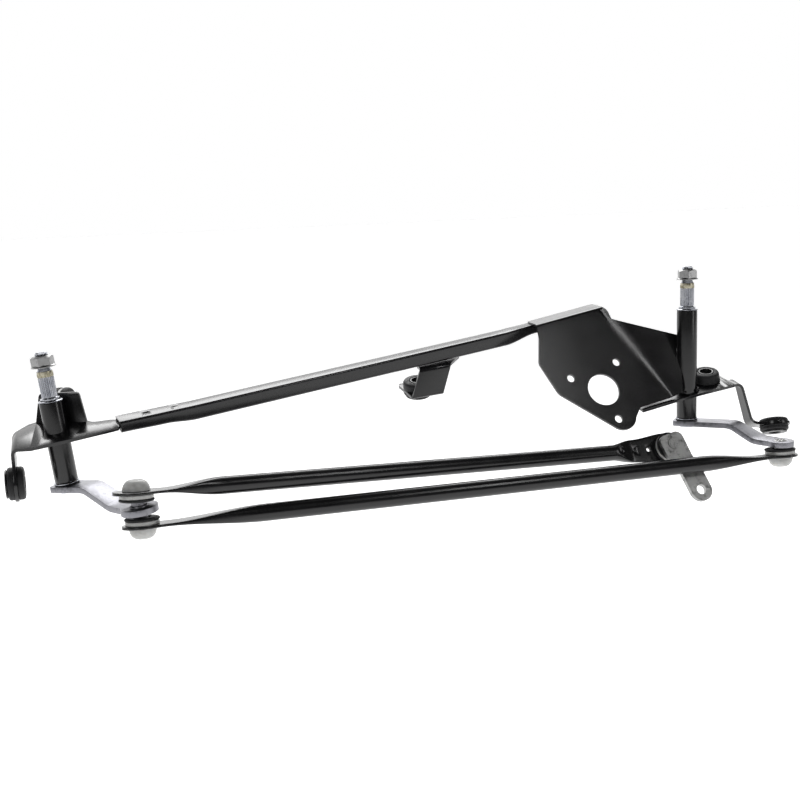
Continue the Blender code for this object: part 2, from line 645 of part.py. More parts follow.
def socket(name, centre, other, outward):
    """Nylon cup snapped into the eye of the rod to the other ball, and the boot at its mouth."""
    place = axes(centre, square_to((other - centre).normalized(), outward), RIGHT)
    lip = ROD_FLAT_THICK + GAP
    cup = BALL_RADIUS + BALL_CLEARANCE
    mouth = -4.2
    inside = arc((0, 0), cup, math.degrees(math.asin(mouth / cup)), 90, 5)
    inside[-1] = (0, cup)
    profile = [(0, 9.5), (4.6, 9.4), (6.8, 8.4), (8.7, 6.4), (9.7, 4.0), (10.1, lip),
               (EYE_HOLE - GAP, lip), (EYE_HOLE - GAP, -lip), (12.2, -lip), (12.2, mouth)]
    turned(name + "_socket", profile + inside, NYLON, datum, place, closed=False)
    turned(name + "_boot", [(12.0, mouth - GAP), (12.8, mouth - 1.0), (12.8, mouth - 1.6),
                            (11.4, mouth - 2.4), (6.9, mouth - 2.4), (6.9, mouth - GAP)],
           RUBBER, datum, place)


def linkage():
    """Both cranks with their studs, the two rods, and the loose motor crank."""
    left_eye, right_eye = crank("left"), crank("right")
    double_stud("left_ball_stud", PIVOTS["left"], Matrix.Translation(left_eye * MM))
    single_stud("right_ball_stud", PIVOTS["right"], Matrix.Translation(right_eye * MM))

    tilt = lean.to_3x3()
    upper = LEFT_PIVOT + tilt @ (left_eye + UP * DOUBLE_REACH)
    lower = LEFT_PIVOT + tilt @ (left_eye - UP * DOUBLE_REACH)
    right = RIGHT_PIVOT + right_eye - UP * SINGLE_REACH
    motor_ball = MOTOR_RIVET - MOTOR_NORMAL * SINGLE_REACH

    rod("long_link_rod", lower, right, (ROD_ROLL, ROD_ROLL), ((18, 90), (14, 75)), (15.0, 14.4))
    socket("long_left", lower, right, -ROD_ROLL)
    socket("long_right", right, lower, -ROD_ROLL)

    short = rod("short_link_rod", upper, motor_ball, (ROD_ROLL, MOTOR_NORMAL),
                ((18, 62), (34, 54)), (17.0, 13.0))
    along = (motor_ball - upper).normalized()
    drill(short, axes(motor_ball - along * 19.5, MOTOR_NORMAL, RIGHT), 1.8, 12, sides=10)
    socket("short_left", upper, motor_ball, ROD_ROLL)
    socket("short_right", motor_ball, upper, -MOTOR_NORMAL)
    motor_crank(motor_ball)


def motor_crank(ball):
    """Stepped arm from the short link's ball stud to the hole for the motor's shaft."""
    hub = empty("motor_crank_ball", axes(ball, MOTOR_NORMAL, RIGHT), datum)
    turn_in = hub.matrix_basis.to_3x3().inverted()
    down = turn_in @ MOTOR_ARM_DOWN
    down.z = 0
    down.normalize()
    across = UP.cross(down)
    base = UP * SINGLE_REACH
    step = UP * MOTOR_ARM_STEP
    half = MOTOR_ARM_HALF

    def row(at, lift, width, *leg):
        centre = base + down * at + lift
        return (centre - across * width, centre + across * width, *leg)

    nothing = Vector((0, 0, 0))
    length = MOTOR_ARM_LENGTH
    rows = []
    for at, width in ((-9.4, 6.0), (-8.4, 8.8), (-6.0, 10.6), (-3.0, 11.2)):
        rows.append(row(at, nothing, width))
    rows += [row(16.0, nothing, 10.6, 3.0), row(24.0, step, half, 3.0)]
    for angle in (0, 25, 50, 72):
        turn = math.radians(angle)
        rows.append(row(length + half * math.sin(turn), step, half * math.cos(turn)))
    arm = folded("motor_crank_arm", rows, MOTOR_ARM_THICK, ZINC, hub)
    drill(arm, Matrix.Translation(base * MM), CRANK_STUD_HOLE, 16, hub)
    drill(arm, Matrix.Translation((base + down * length + step) * MM), MOTOR_ARM_HOLE, 16, hub)
    single_stud("motor_ball_stud", hub, Matrix.Translation(base * MM))


left_bracket()
right_bracket()
motor_bracket()
centre_bracket()
frame_tube()
pivot("left")
pivot("right")
linkage()
bpy.context.view_layer.update()
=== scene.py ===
"""Looks of the wiper transmission: painted stampings and tubes, zinc cranks, nylon ball cups.

Lengths are millimetres in the layout frame that lies midway between the two wiper pivots: +X from
the left pivot to the right one, +Y to the back, +Z up along the right wiper shaft.  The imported
part has its origin at the middle cowl mount, so every finished mesh is moved there and scaled to
metres.  Each piece stands for the solid of the same place and rides on that solid's body.
"""
import math

import bmesh
import bpy
from mathutils import Matrix, Vector


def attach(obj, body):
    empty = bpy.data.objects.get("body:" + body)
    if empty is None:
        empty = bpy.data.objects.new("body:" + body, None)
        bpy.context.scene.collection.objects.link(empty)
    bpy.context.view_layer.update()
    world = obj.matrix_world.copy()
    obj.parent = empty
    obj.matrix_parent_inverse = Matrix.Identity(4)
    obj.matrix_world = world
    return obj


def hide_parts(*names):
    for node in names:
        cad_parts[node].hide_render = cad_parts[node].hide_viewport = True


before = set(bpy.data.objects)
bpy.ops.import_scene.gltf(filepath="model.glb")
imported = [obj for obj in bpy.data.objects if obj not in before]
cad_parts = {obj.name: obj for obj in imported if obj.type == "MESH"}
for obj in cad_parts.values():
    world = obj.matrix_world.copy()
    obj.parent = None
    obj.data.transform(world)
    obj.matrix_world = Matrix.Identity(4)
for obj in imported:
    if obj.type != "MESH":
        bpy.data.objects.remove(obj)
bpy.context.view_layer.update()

MM = 0.001
UP, BACK, RIGHT = Vector((0, 0, 1)), Vector((0, 1, 0)), Vector((1, 0, 0))
GAP = 0.3

# ---- pivots and linkage ------------------------------------------------------------------
SHAFT_LEAN = 5.8
LEFT_PIVOT, RIGHT_PIVOT = Vector((-266, 0, -2)), Vector((266, 0, 0))
CRANK_THROW, CRANK_ANGLE = 85.0, -55.0
CRANK_DROP = {"left": 10.8, "right": 10.4}
CRANK_THICK, CRANK_HALF_WIDTH = 4.5, 9.6
CRANK_EYE = {"left": 13.6, "right": 11.0}
HUB_ANGLE = -42.0
HUB_LENGTH = {"left": 24.0, "right": 41.0}
RAMP_LENGTH = {"left": 36.0, "right": 25.0}
BALL_RADIUS, STEM_RADIUS = 7.5, 5.0
DOUBLE_REACH, SINGLE_REACH = 12.7, 10.8

# ---- housings and shafts -----------------------------------------------------------------
HOUSING_LOW = {"left": 5.0, "right": 4.6}
HOUSING_TOP = {"left": 67.2, "right": 100.3}
HOUSING_RADIUS, HOUSING_BORE = 8.75, 7.6
BUSH_OUTER, BUSH_BORE, BUSH_LENGTH = 7.3, 6.0, 14.0
SHAFT_RADIUS, THREAD_RADIUS = 5.9, 4.9
KNURL_LENGTH, COLLAR_LENGTH = 19.5, 7.2
NUT_HEIGHT, NUT_FLATS, SHAFT_TOP = 8.8, 15.0, 38.2

# ---- sheet metal -------------------------------------------------------------------------
SHEET = 2.5
COWL_NORMAL = Vector((-0.139, -0.257, 0.953)).normalized()
COWL_X = Vector((1.0, 0.0, 0.1458)).normalized()
COWL_Y = COWL_NORMAL.cross(COWL_X)
LEFT_PLATE_HEIGHT, RIGHT_PLATE_HEIGHT = 45.7, 29.5
MOTOR_CENTRE = Vector((183.1, -4.4, 37.0))
MOTOR_NORMAL = Vector((-0.006, -0.86, 0.51)).normalized()
MOTOR_X = Vector((0.982, 0.092, 0.166)).normalized()
MOTOR_X = (MOTOR_X - MOTOR_NORMAL * MOTOR_X.dot(MOTOR_NORMAL)).normalized()
MOTOR_Y = MOTOR_NORMAL.cross(MOTOR_X)
GUSSET_TOP, GUSSET_FOOT = Vector((262.5, 9.6, 77.0)), Vector((255.8, -10.6, 29.4))
MOTOR_HOLE, BOLT_HOLE = 14.5, 3.5
MOTOR_BOLTS = ((30.4, 144.0), (30.4, 42.0), (28.8, -87.0))
TUBE_WALL = 1.5
TUBE_STATIONS = [
    (Vector((-223.8, -20.0, 47.6)), 15.0, 9.2, 14),
    (Vector((-190.0, -14.2, 51.2)), 15.0, 9.8, 12),
    (Vector((-166.0, -10.0, 53.8)), 14.3, 11.9, 11),
    (Vector((112.0, 37.9, 87.0)), 14.3, 11.8, 7),
    (Vector((138.0, 42.4, 91.9)), 15.0, 8.4, 1),
    (Vector((186.0, 46.9, 100.0)), 15.0, 8.4, 0)]

# ---- rubber mounts -----------------------------------------------------------------------
GROMMET_RADIUS, GROMMET_NECK, GROMMET_BORE = 12.6, 8.6, 6.8
SLEEVE_OUTER, SLEEVE_BORE, SLEEVE_FLANGE = 6.5, 5.3, 10.8
CENTRE_GROMMET = Vector((29.0, 41.0, 43.6))
CENTRE_NORMAL = Vector((-0.082, -0.251, 0.96)).normalized()
REAR_GROMMET = Vector((-264.1, 30.4, 57.8))
LOWER_LEFT_GROMMET = Vector((-302.5, -5.0, 5.5))
LOWER_RIGHT_GROMMET = Vector((350.3, -8.0, -8.4))
LOWER_RIGHT_AXIS = Vector((0.09, 0.36, 0.93)).normalized()
UPPER_RIGHT_SPOT = (24.4, 8.3)

# ---- link rods and motor crank -----------------------------------------------------------
ROD_RADIUS, ROD_WALL = 6.65, 1.4
ROD_FLAT_HALF, ROD_FLAT_THICK = 10.0, 1.2
ROD_ROLL = Vector((0.0, 0.12, 0.993)).normalized()
EYE_RADIUS, EYE_HOLE = 13.85, 9.3
MOTOR_RIVET = Vector((226.8, -45.0, -7.8))
MOTOR_ARM_DOWN = Vector((0.242, -0.496, -0.834)).normalized()
MOTOR_ARM_LENGTH, MOTOR_ARM_HALF, MOTOR_ARM_THICK = 44.7, 9.65, 4.0
MOTOR_ARM_STEP, MOTOR_ARM_HOLE = 5.0, 4.2

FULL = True
ROUND = 72 if FULL else 40             # sides of a turned piece
lean = Matrix.Rotation(-math.radians(SHAFT_LEAN), 4, "Y")
LEFT_AXIS = lean.to_3x3() @ UP
PIVOTS = {"left": Matrix.Translation(LEFT_PIVOT) @ lean,
          "right": Matrix.Translation(RIGHT_PIVOT)}
TO_ROW = Matrix.Scale(MM, 4) @ Matrix.Translation(-CENTRE_GROMMET)


# ---- finishes ----------------------------------------------------------------------------
class Finish:
    """A Principled material built node by node on Object coordinates, in metres."""

    def __init__(self, name, colour, roughness, metallic=0.0, **constants):
        self.material = bpy.data.materials.new(name)
        self.material.use_nodes = True
        self.tree = self.material.node_tree
        self.shader = self.tree.nodes["Principled BSDF"]
        self.shader.inputs["Base Color"].default_value = (*colour, 1)
        self.shader.inputs["Roughness"].default_value = roughness
        self.shader.inputs["Metallic"].default_value = metallic
        for socket, value in constants.items():
            self.shader.inputs[socket.replace("_", " ")].default_value = value
        self.place = self.tree.nodes.new("ShaderNodeTexCoord").outputs["Object"]
        self.normal = None

    def stretched(self, scale):
        """Object coordinates scaled differently along each axis."""
        node = self.tree.nodes.new("ShaderNodeMapping")
        node.inputs["Scale"].default_value = scale
        self.tree.links.new(self.place, node.inputs["Vector"])
        return node.outputs["Vector"]

    def noise(self, scale, detail=3.0, vector=None, roughness=0.55):
        node = self.tree.nodes.new("ShaderNodeTexNoise")
        node.inputs["Scale"].default_value = scale
        node.inputs["Detail"].default_value = detail
        node.inputs["Roughness"].default_value = roughness
        self.tree.links.new(vector or self.place, node.inputs["Vector"])
        return node.outputs["Fac"]

    def spread(self, value, low, high, start=0.35, end=0.65):
        """Noise remapped so that its middle runs from low to high."""
        node = self.tree.nodes.new("ShaderNodeMapRange")
        node.inputs["From Min"].default_value = start
        node.inputs["From Max"].default_value = end
        node.inputs["To Min"].default_value = low
        node.inputs["To Max"].default_value = high
        self.tree.links.new(value, node.inputs["Value"])
        return node.outputs["Result"]

    def tint(self, value, stops):
        """Colour the surface by a value through a ramp of (position, colour) stops."""
        node = self.tree.nodes.new("ShaderNodeValToRGB")
        ramp = node.color_ramp
        while len(ramp.elements) < len(stops):
            ramp.elements.new(0.5)
        for element, (position, colour) in zip(ramp.elements, stops):
            element.position = position
            element.color = (*colour, 1)
        self.tree.links.new(value, node.inputs["Fac"])
        self.tree.links.new(node.outputs["Color"], self.shader.inputs["Base Color"])

    def rough(self, value, low, high):
        self.tree.links.new(self.spread(value, low, high), self.shader.inputs["Roughness"])

    def bump(self, height, distance, strength=1.0):
        """Add a bump of the given depth in millimetres to those already there."""
        node = self.tree.nodes.new("ShaderNodeBump")
        node.inputs["Strength"].default_value = strength
        node.inputs["Distance"].default_value = distance * MM
        self.tree.links.new(height, node.inputs["Height"])
        if self.normal:
            self.tree.links.new(self.normal, node.inputs["Normal"])
        self.normal = node.outputs["Normal"]
        self.tree.links.new(self.normal, self.shader.inputs["Normal"])


def dipped_black():
    """Semi-gloss black dip paint with a soft orange peel and faint dust."""
    paint = Finish("black_dip_paint", (0.005, 0.005, 0.0055), 0.24, Specular_IOR_Level=0.5)
    peel = paint.noise(620, 2.0)
    cloud = paint.noise(38, 4.0)
    paint.tint(paint.spread(cloud, 0, 1), [(0.0, (0.0035, 0.0035, 0.004)),
                                          (1.0, (0.0065, 0.0065, 0.007))])
    paint.rough(cloud, 0.19, 0.24)
    paint.bump(peel, 0.02, 0.35)
    paint.bump(paint.noise(2600, 2.0), 0.006, 0.25)
    return paint.material


def plated_zinc(name, low, high, rough=(0.3, 0.46)):
    """Zinc plate over a rolled blank: a crystalline mottle and fine rolling lines."""
    metal = Finish(name, high, 0.36, 1.0)
    mottle = metal.noise(210, 5.0, roughness=0.65)
    lines = metal.noise(1.0, 3.0, metal.stretched((260, 5200, 5200)))
    metal.tint(metal.spread(mottle, 0, 1, 0.3, 0.7), [(0.0, low), (0.45, high), (1.0, tuple(
        min(1.0, c * 1.12) for c in high))])
    metal.rough(mottle, *rough)
    metal.bump(lines, 0.012, 0.35)
    metal.bump(mottle, 0.02, 0.3)
    return metal.material


def bright_steel():
    """Ground steel of the shafts, with turning marks and a trace of oil."""
    metal = Finish("ground_steel", (0.6, 0.61, 0.63), 0.24, 1.0)
    rings = metal.noise(1.0, 2.0, metal.stretched((400, 400, 3800)))
    stain = metal.noise(150, 4.0)
    metal.tint(metal.spread(stain, 0, 1), [(0.0, (0.27, 0.28, 0.31)), (1.0, (0.46, 0.47, 0.5))])
    metal.rough(stain, 0.16, 0.3)
    metal.bump(rings, 0.008, 0.4)
    return metal.material


def passivated():
    """Yellowish chromate on the collar below each wiper nut."""
    metal = Finish("chromate_collar", (0.62, 0.58, 0.47), 0.34, 1.0)
    stain = metal.noise(420, 4.0)
    metal.tint(metal.spread(stain, 0, 1), [(0.0, (0.24, 0.22, 0.15)), (1.0, (0.5, 0.47, 0.37))])
    metal.rough(stain, 0.26, 0.42)
    return metal.material


def moulded_rubber():
    """Matte black rubber with a fine grain and a faint bloom."""
    rubber = Finish("black_rubber", (0.014, 0.014, 0.015), 0.6, Specular_IOR_Level=0.35)
    bloom = rubber.noise(120, 4.0)
    rubber.tint(rubber.spread(bloom, 0, 1), [(0.0, (0.005, 0.005, 0.006)),
                                            (1.0, (0.013, 0.013, 0.014))])
    rubber.rough(bloom, 0.5, 0.72)
    rubber.bump(rubber.noise(3200, 3.0), 0.015, 0.5)
    return rubber.material


def cup_nylon():
    """Natural nylon of the ball cups: greyish white, a little translucent."""
    nylon = Finish("natural_nylon", (0.72, 0.72, 0.70), 0.36, Subsurface_Weight=0.25,
                   Subsurface_Radius=(0.004, 0.0036, 0.003), Subsurface_Scale=0.6)
    flow = nylon.noise(160, 3.0)
    nylon.tint(nylon.spread(flow, 0, 1), [(0.0, (0.36, 0.36, 0.35)), (1.0, (0.47, 0.47, 0.46))])
    nylon.rough(flow, 0.3, 0.44)
    nylon.bump(nylon.noise(1400, 2.0), 0.01, 0.3)
    return nylon.material


def sintered_bronze():
    """Porous bronze of the shaft bushes."""
    bronze = Finish("sintered_bronze", (0.42, 0.27, 0.13), 0.45, 1.0)
    pores = bronze.noise(2400, 4.0)
    bronze.tint(bronze.spread(pores, 0, 1), [(0.0, (0.2, 0.12, 0.06)), (1.0, (0.5, 0.33, 0.16))])
    bronze.bump(pores, 0.03, 0.6)
    return bronze.material


PAINT = dipped_black()
ZINC = plated_zinc("zinc_plate", (0.11, 0.11, 0.12), (0.235, 0.235, 0.255))
DARK_ZINC = plated_zinc("worn_zinc_plate", (0.11, 0.11, 0.11), (0.32, 0.32, 0.315), (0.28, 0.44))
NUT_ZINC = plated_zinc("nut_zinc", (0.14, 0.14, 0.145), (0.32, 0.32, 0.32), (0.26, 0.4))
# Painted shade: the sleeve zinc is darkened almost to black to stand in for the shade inside the
# mounts' sleeve bores.
SHADED_SLEEVE_ZINC = plated_zinc("sleeve_zinc_painted_shade", (0.02, 0.02, 0.02), (0.06, 0.06, 0.06))
STEEL = bright_steel()
COLLAR = passivated()
RUBBER = moulded_rubber()
NYLON = cup_nylon()
BRONZE = sintered_bronze()


# ---- meshes ------------------------------------------------------------------------------
def axes(origin, z_axis, x_hint):
    """A placement whose Z is z_axis and whose X is as near x_hint as that allows."""
    z = z_axis.normalized()
    x = (x_hint - z * x_hint.dot(z)).normalized()
    return Matrix.Translation(origin) @ Matrix((x, z.cross(x), z)).transposed().to_4x4()


def close(work, name="shape"):
    """Turn a bmesh into a mesh with its faces pointing out."""
    bmesh.ops.recalc_face_normals(work, faces=work.faces)
    mesh = bpy.data.meshes.new(name)
    work.to_mesh(mesh)
    work.free()
    return mesh


def eased(profile, radius, closed):
    """The same profile with each corner rounded by up to radius."""
    points = [Vector(point) for point in profile]
    count = len(points)
    out = []
    for i, point in enumerate(points):
        if not closed and i in (0, count - 1):
            out.append(point)
            continue
        before, after = points[i - 1] - point, points[(i + 1) % count] - point
        if min(before.length, after.length) < 1e-6 or before.angle(after) > math.radians(160):
            out.append(point)
            continue
        cut = min(radius, before.length * 0.45, after.length * 0.45)
        start, end = point + before.normalized() * cut, point + after.normalized() * cut
        for step in range(4):
            t = step / 3
            out.append(start * (1 - t) ** 2 + point * 2 * t * (1 - t) + end * t ** 2)
    return out


def turned(profile, placement, closed=True, ease=0.25, sides=None):
    """Turn a section about the placement's Z."""
    sides = sides or ROUND
    work = bmesh.new()
    rings = []
    for radius, height in eased(profile, ease, closed) if ease else map(Vector, profile):
        if radius < 1e-5:
            rings.append([work.verts.new(placement @ Vector((0, 0, height)))])
            continue
        rings.append([work.verts.new(placement @ Vector((
            radius * math.cos(2 * math.pi * i / sides), radius * math.sin(2 * math.pi * i / sides),
            height))) for i in range(sides)])
    pairs = list(zip(rings, rings[1:])) + ([(rings[-1], rings[0])] if closed else [])
    for one, two in pairs:
        for i in range(sides):
            j = (i + 1) % sides
            corners = [one[i % len(one)], one[j % len(one)], two[j % len(two)], two[i % len(two)]]
            kept = [corner for n, corner in enumerate(corners) if corner not in corners[:n]]
            if len(kept) > 2:
                work.faces.new(kept)
    return close(work)


def ring(outer, inner, low, high):
    return [(outer, high), (outer, low), (inner, low), (inner, high)]


def arc(centre, radius, start, end, steps):
    turns = [math.radians(start + (end - start) * i / steps) for i in range(steps + 1)]
    return [(centre[0] + radius * math.cos(t), centre[1] + radius * math.sin(t)) for t in turns]


def skinned(sections, hollow=None):
    """Skin a row of sections.  With hollow, an inner row joined to the outer one at both ends."""
    work = bmesh.new()

    def skin(rows):
        rings = [[work.verts.new(point) for point in row] for row in rows]
        for near, far in zip(rings, rings[1:]):
            for i in range(len(near)):
                j = (i + 1) % len(near)
                work.faces.new((near[i], near[j], far[j], far[i]))
        return rings

    outer = skin(sections)
    if hollow:
        inner = skin(hollow)
        for rim, bore in ((outer[0], inner[0]), (outer[-1], inner[-1])):
            for i in range(len(rim)):
                j = (i + 1) % len(rim)
                work.faces.new((rim[i], rim[j], bore[j], bore[i]))
    else:
        work.faces.new(outer[0])
        work.faces.new(outer[-1])
    return close(work)


def folded(rows, thick, steps=9):
    """A sheet from the two edge points of its middle surface at each row.  A row's third value
    is the length of each leg of the round that replaces its fold."""
    spread = []
    for i, row in enumerate(rows):
        if len(row) == 2:
            spread.append(row)
            continue
        leg = row[2]
        for step in range(steps + 1):
            t = step / steps
            pair = []
            for side, corner in enumerate(row[:2]):
                start = corner + (rows[i - 1][side] - corner).normalized() * leg
                end = corner + (rows[i + 1][side] - corner).normalized() * leg
                pair.append(start * (1 - t) ** 2 + corner * 2 * t * (1 - t) + end * t ** 2)
            spread.append(tuple(pair))
    sections = []
    for i, (left, right) in enumerate(spread):
        before, after = spread[max(i - 1, 0)], spread[min(i + 1, len(spread) - 1)]
        along = (after[0] + after[1] - before[0] - before[1]).normalized()
        normal = along.cross(right - left).normalized() * thick / 2
        sections.append([left - normal, right - normal, right + normal, left + normal])
    return skinned(sections)


def prism(outline, low, high, placement):
    """A flat outline pulled up from one height to another."""
    work = bmesh.new()
    face = work.faces.new([work.verts.new((x, y, low)) for x, y in outline])
    pulled = bmesh.ops.extrude_face_region(work, geom=[face])
    top = [item for item in pulled["geom"] if isinstance(item, bmesh.types.BMVert)]
    bmesh.ops.translate(work, verts=top, vec=(0, 0, high - low))
    bmesh.ops.transform(work, matrix=placement, verts=work.verts)
    return close(work)


def drill(placement, radius, depth, sides=64):
    """A round cutter of the given depth, centred on the placement."""
    return turned([(0, depth / 2), (radius, depth / 2), (radius, -depth / 2), (0, -depth / 2)],
                  placement, closed=False, ease=0, sides=sides)


def worked(mesh, cuts=(), joins=(), keeps=(), edge=0.35, segments=2, sharp=40):
    """Join, cut and bevel a mesh, all with modifiers, and return the result."""
    helpers = []
    base = bpy.data.objects.new("work", mesh)
    bpy.context.scene.collection.objects.link(base)
    for meshes, operation in ((joins, "UNION"), (cuts, "DIFFERENCE"), (keeps, "INTERSECT")):
        for tool in meshes:
            helper = bpy.data.objects.new("tool", tool)
            bpy.context.scene.collection.objects.link(helper)
            helpers.append(helper)
            change = base.modifiers.new(operation, "BOOLEAN")
            change.operation, change.solver, change.object = operation, "EXACT", helper
    if edge:
        bevel = base.modifiers.new("edge", "BEVEL")
        bevel.width, bevel.segments = edge, segments
        bevel.limit_method, bevel.angle_limit = "ANGLE", math.radians(sharp)
        bevel.use_clamp_overlap = True
    bpy.context.view_layer.update()
    graph = bpy.context.evaluated_depsgraph_get()
    result = bpy.data.meshes.new_from_object(base.evaluated_get(graph))
    for item in [base, *helpers]:
        bpy.data.objects.remove(item, do_unlink=True)
    return result


def piece(name, mesh, finish, slot, body, *nodes, smooth=32):
    """Settle a finished mesh in the row frame, in place of its solids, on their body."""
    mesh.transform(TO_ROW)
    mesh.materials.clear()
    mesh.materials.append(finish)
    mesh.shade_smooth()
    mesh.set_sharp_from_angle(angle=math.radians(smooth))
    made = bpy.data.objects.new(name, mesh)
    bpy.context.scene.collection.objects.link(made)
    if nodes:
        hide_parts(*nodes)
    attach(made, body)
    return made


# ---- repeats made with Geometry Nodes ----------------------------------------------------
class Repeat:
    """A small Geometry Nodes tree with named inputs, turned into a plain mesh."""

    def __init__(self, name, finish):
        self.tree = bpy.data.node_groups.new(name, "GeometryNodeTree")
        self.tree.interface.new_socket("Geometry", in_out="OUTPUT",
                                       socket_type="NodeSocketGeometry")
        self.finish = finish
        self.values = {}
        self.source = self.node("NodeGroupInput")

    def node(self, kind, links=(), **settings):
        made = self.tree.nodes.new(kind)
        for key, value in settings.items():
            if key in made.inputs:
                made.inputs[key].default_value = value
            else:
                setattr(made, key, value)
        for source, socket in links:
            self.tree.links.new(source, made.inputs[socket])
        return made

    def size(self, name, value, kind="NodeSocketFloat"):
        """A named input of the tree and its value."""
        socket = self.tree.interface.new_socket(name, in_out="INPUT", socket_type=kind)
        self.values[socket.identifier] = value
        return self.source.outputs[name]

    def mesh(self, geometry, placement):
        """Realize, paint and read the result back, moved to its placement."""
        real = self.node("GeometryNodeRealizeInstances", [(geometry, "Geometry")])
        painted = self.node("GeometryNodeSetMaterial", [(real.outputs[0], "Geometry")])
        painted.inputs["Material"].default_value = self.finish
        self.node("NodeGroupOutput", [(painted.outputs[0], "Geometry")])
        holder = bpy.data.objects.new("repeat", bpy.data.meshes.new("repeat"))
        bpy.context.scene.collection.objects.link(holder)
        change = holder.modifiers.new("repeat", "NODES")
        change.node_group = self.tree
        for identifier, value in self.values.items():
            change[identifier] = value
        bpy.context.view_layer.update()
        graph = bpy.context.evaluated_depsgraph_get()
        result = bpy.data.meshes.new_from_object(holder.evaluated_get(graph))
        holder.modifiers.clear()
        bpy.data.objects.remove(holder, do_unlink=True)
        result.transform(placement)
        return result


def ridges(name, finish, placement, count, radius, width, length, height):
    """Upright V-shaped ridges on a circle, such as a knurl."""
    kit = Repeat(name, finish)
    number = kit.size("Count", count, "NodeSocketInt")
    circle = kit.node("GeometryNodeMeshCircle", [
        (number, "Vertices"), (kit.size("Circle radius", radius), "Radius")])
    ridge_size = kit.node("ShaderNodeCombineXYZ", [
        (kit.size("Ridge width", width), "X"), (kit.size("Ridge depth", width), "Y"),
        (kit.size("Ridge length", length), "Z")])
    ridge = kit.node("GeometryNodeMeshCube", [(ridge_size.outputs[0], "Size")])
    index = kit.node("GeometryNodeInputIndex")
    part = kit.node("ShaderNodeMath", [(index.outputs[0], 0), (number, 1)], operation="DIVIDE")
    turn = kit.node("ShaderNodeMath", [(part.outputs[0], 0)], operation="MULTIPLY_ADD")
    turn.inputs[1].default_value = 2 * math.pi
    turn.inputs[2].default_value = math.pi / 4
    spin = kit.node("ShaderNodeCombineXYZ", [(turn.outputs[0], "Z")])
    spread = kit.node("GeometryNodeInstanceOnPoints", [
        (circle.outputs[0], "Points"), (ridge.outputs[0], "Instance"),
        (spin.outputs[0], "Rotation")])
    return kit.mesh(spread.outputs[0], placement @ Matrix.Translation((0, 0, height)))


def thread(name, finish, placement, radius, pitch, low, high):
    """A helical ridge with a pointed section."""
    kit = Repeat(name, finish)
    turns = (high - low) / pitch
    radius_in = kit.size("Thread radius", radius)
    helix = kit.node("GeometryNodeCurveSpiral", [
        (kit.size("Turns", turns), "Rotations"), (kit.size("Height", high - low), "Height"),
        (radius_in, "Start Radius"), (radius_in, "End Radius")], Resolution=28)
    section = kit.node("GeometryNodeCurvePrimitiveCircle", [
        (kit.size("Ridge", pitch * 0.5), "Radius")], Resolution=4)
    swept = kit.node("GeometryNodeCurveToMesh", [
        (helix.outputs[0], "Curve"), (section.outputs[0], "Profile Curve")])
    swept.inputs["Fill Caps"].default_value = True
    return kit.mesh(swept.outputs[0], placement @ Matrix.Translation((0, 0, low)))


def weld(name, start, end, radius):
    """A run of overlapping drops of weld from start to end."""
    kit = Repeat(name, PAINT)
    length = (end - start).length
    count = max(3, round(length / (radius * 0.55)))
    line = kit.node("GeometryNodeMeshLine", [
        (kit.size("Drops", count, "NodeSocketInt"), "Count"),
        (kit.size("Start", tuple(start), "NodeSocketVector"), "Start Location"),
        (kit.size("Step", tuple((end - start) / (count - 1)), "NodeSocketVector"), "Offset")])
    drop = kit.node("GeometryNodeMeshIcoSphere", [(kit.size("Drop radius", radius), "Radius")],
                    Subdivisions=3)
    vary = kit.node("FunctionNodeRandomValue", [], data_type="FLOAT_VECTOR")
    vary.inputs[0].default_value = (0.86, 0.86, 0.86)
    vary.inputs[1].default_value = (1.12, 1.12, 1.12)
    vary.inputs["Seed"].default_value = 7
    beads = kit.node("GeometryNodeInstanceOnPoints", [
        (line.outputs[0], "Points"), (drop.outputs[0], "Instance"), (vary.outputs[0], "Scale")])
    return kit.mesh(beads.outputs[0], Matrix.Identity(4))


def merged(*meshes):
    """Several meshes as one."""
    work = bmesh.new()
    for mesh in meshes:
        work.from_mesh(mesh)
    out = bpy.data.meshes.new("merged")
    work.to_mesh(out)
    work.free()
    return out


# ---- rubber mounts -----------------------------------------------------------------------
def mount_axes(centre, axis):
    return axes(centre, axis, RIGHT if abs(axis.x) < 0.7 else UP)


def rubber_mount(name, centre, axis, high=6.2, low=6.2, flare=0.0):
    """Grooved grommet and its flanged sleeve, centred on the sheet that it sits in."""
    place = mount_axes(centre, axis)
    groove, full, neck = SHEET / 2 + 0.12, GROMMET_RADIUS, GROMMET_NECK
    lip = 0.9
    profile = [(full - 2.4 - flare, high), (full - 0.7 - flare * 0.8, high - 0.5),
               (full - flare * 0.7, high - 1.9),
               (full - flare * 0.3, groove + lip + 0.6), (full, groove + lip), (full, groove),
               (neck, groove), (neck, -groove), (full, -groove), (full, -groove - lip),
               (full - 0.25, -groove - lip - 0.3), (full, 1.9 - low), (full - 0.7, 0.5 - low),
               (full - 2.4, -low), (GROMMET_BORE, -low), (GROMMET_BORE, high - 0.6),
               (GROMMET_BORE + 0.8, high)]
    piece(name + "_grommet_rubber", turned(profile, place, ease=0.5), RUBBER, "rubber", "frame",
          name + "_grommet")
    seat = -low - GAP
    # The sleeve gets the nearly black zinc, which is painted shade for its dark bore.
    piece(name + "_sleeve_steel", turned(
        [(SLEEVE_OUTER, high), (SLEEVE_OUTER, seat), (SLEEVE_FLANGE, seat),
         (SLEEVE_FLANGE, seat - 1.18), (SLEEVE_BORE, seat - 1.18), (SLEEVE_BORE, high)], place),
        SHADED_SLEEVE_ZINC, "zinc", "frame", name + "_sleeve")


def grommet_hole(centre, axis):
    return drill(mount_axes(centre, axis), GROMMET_NECK + 0.15, 4 * SHEET)


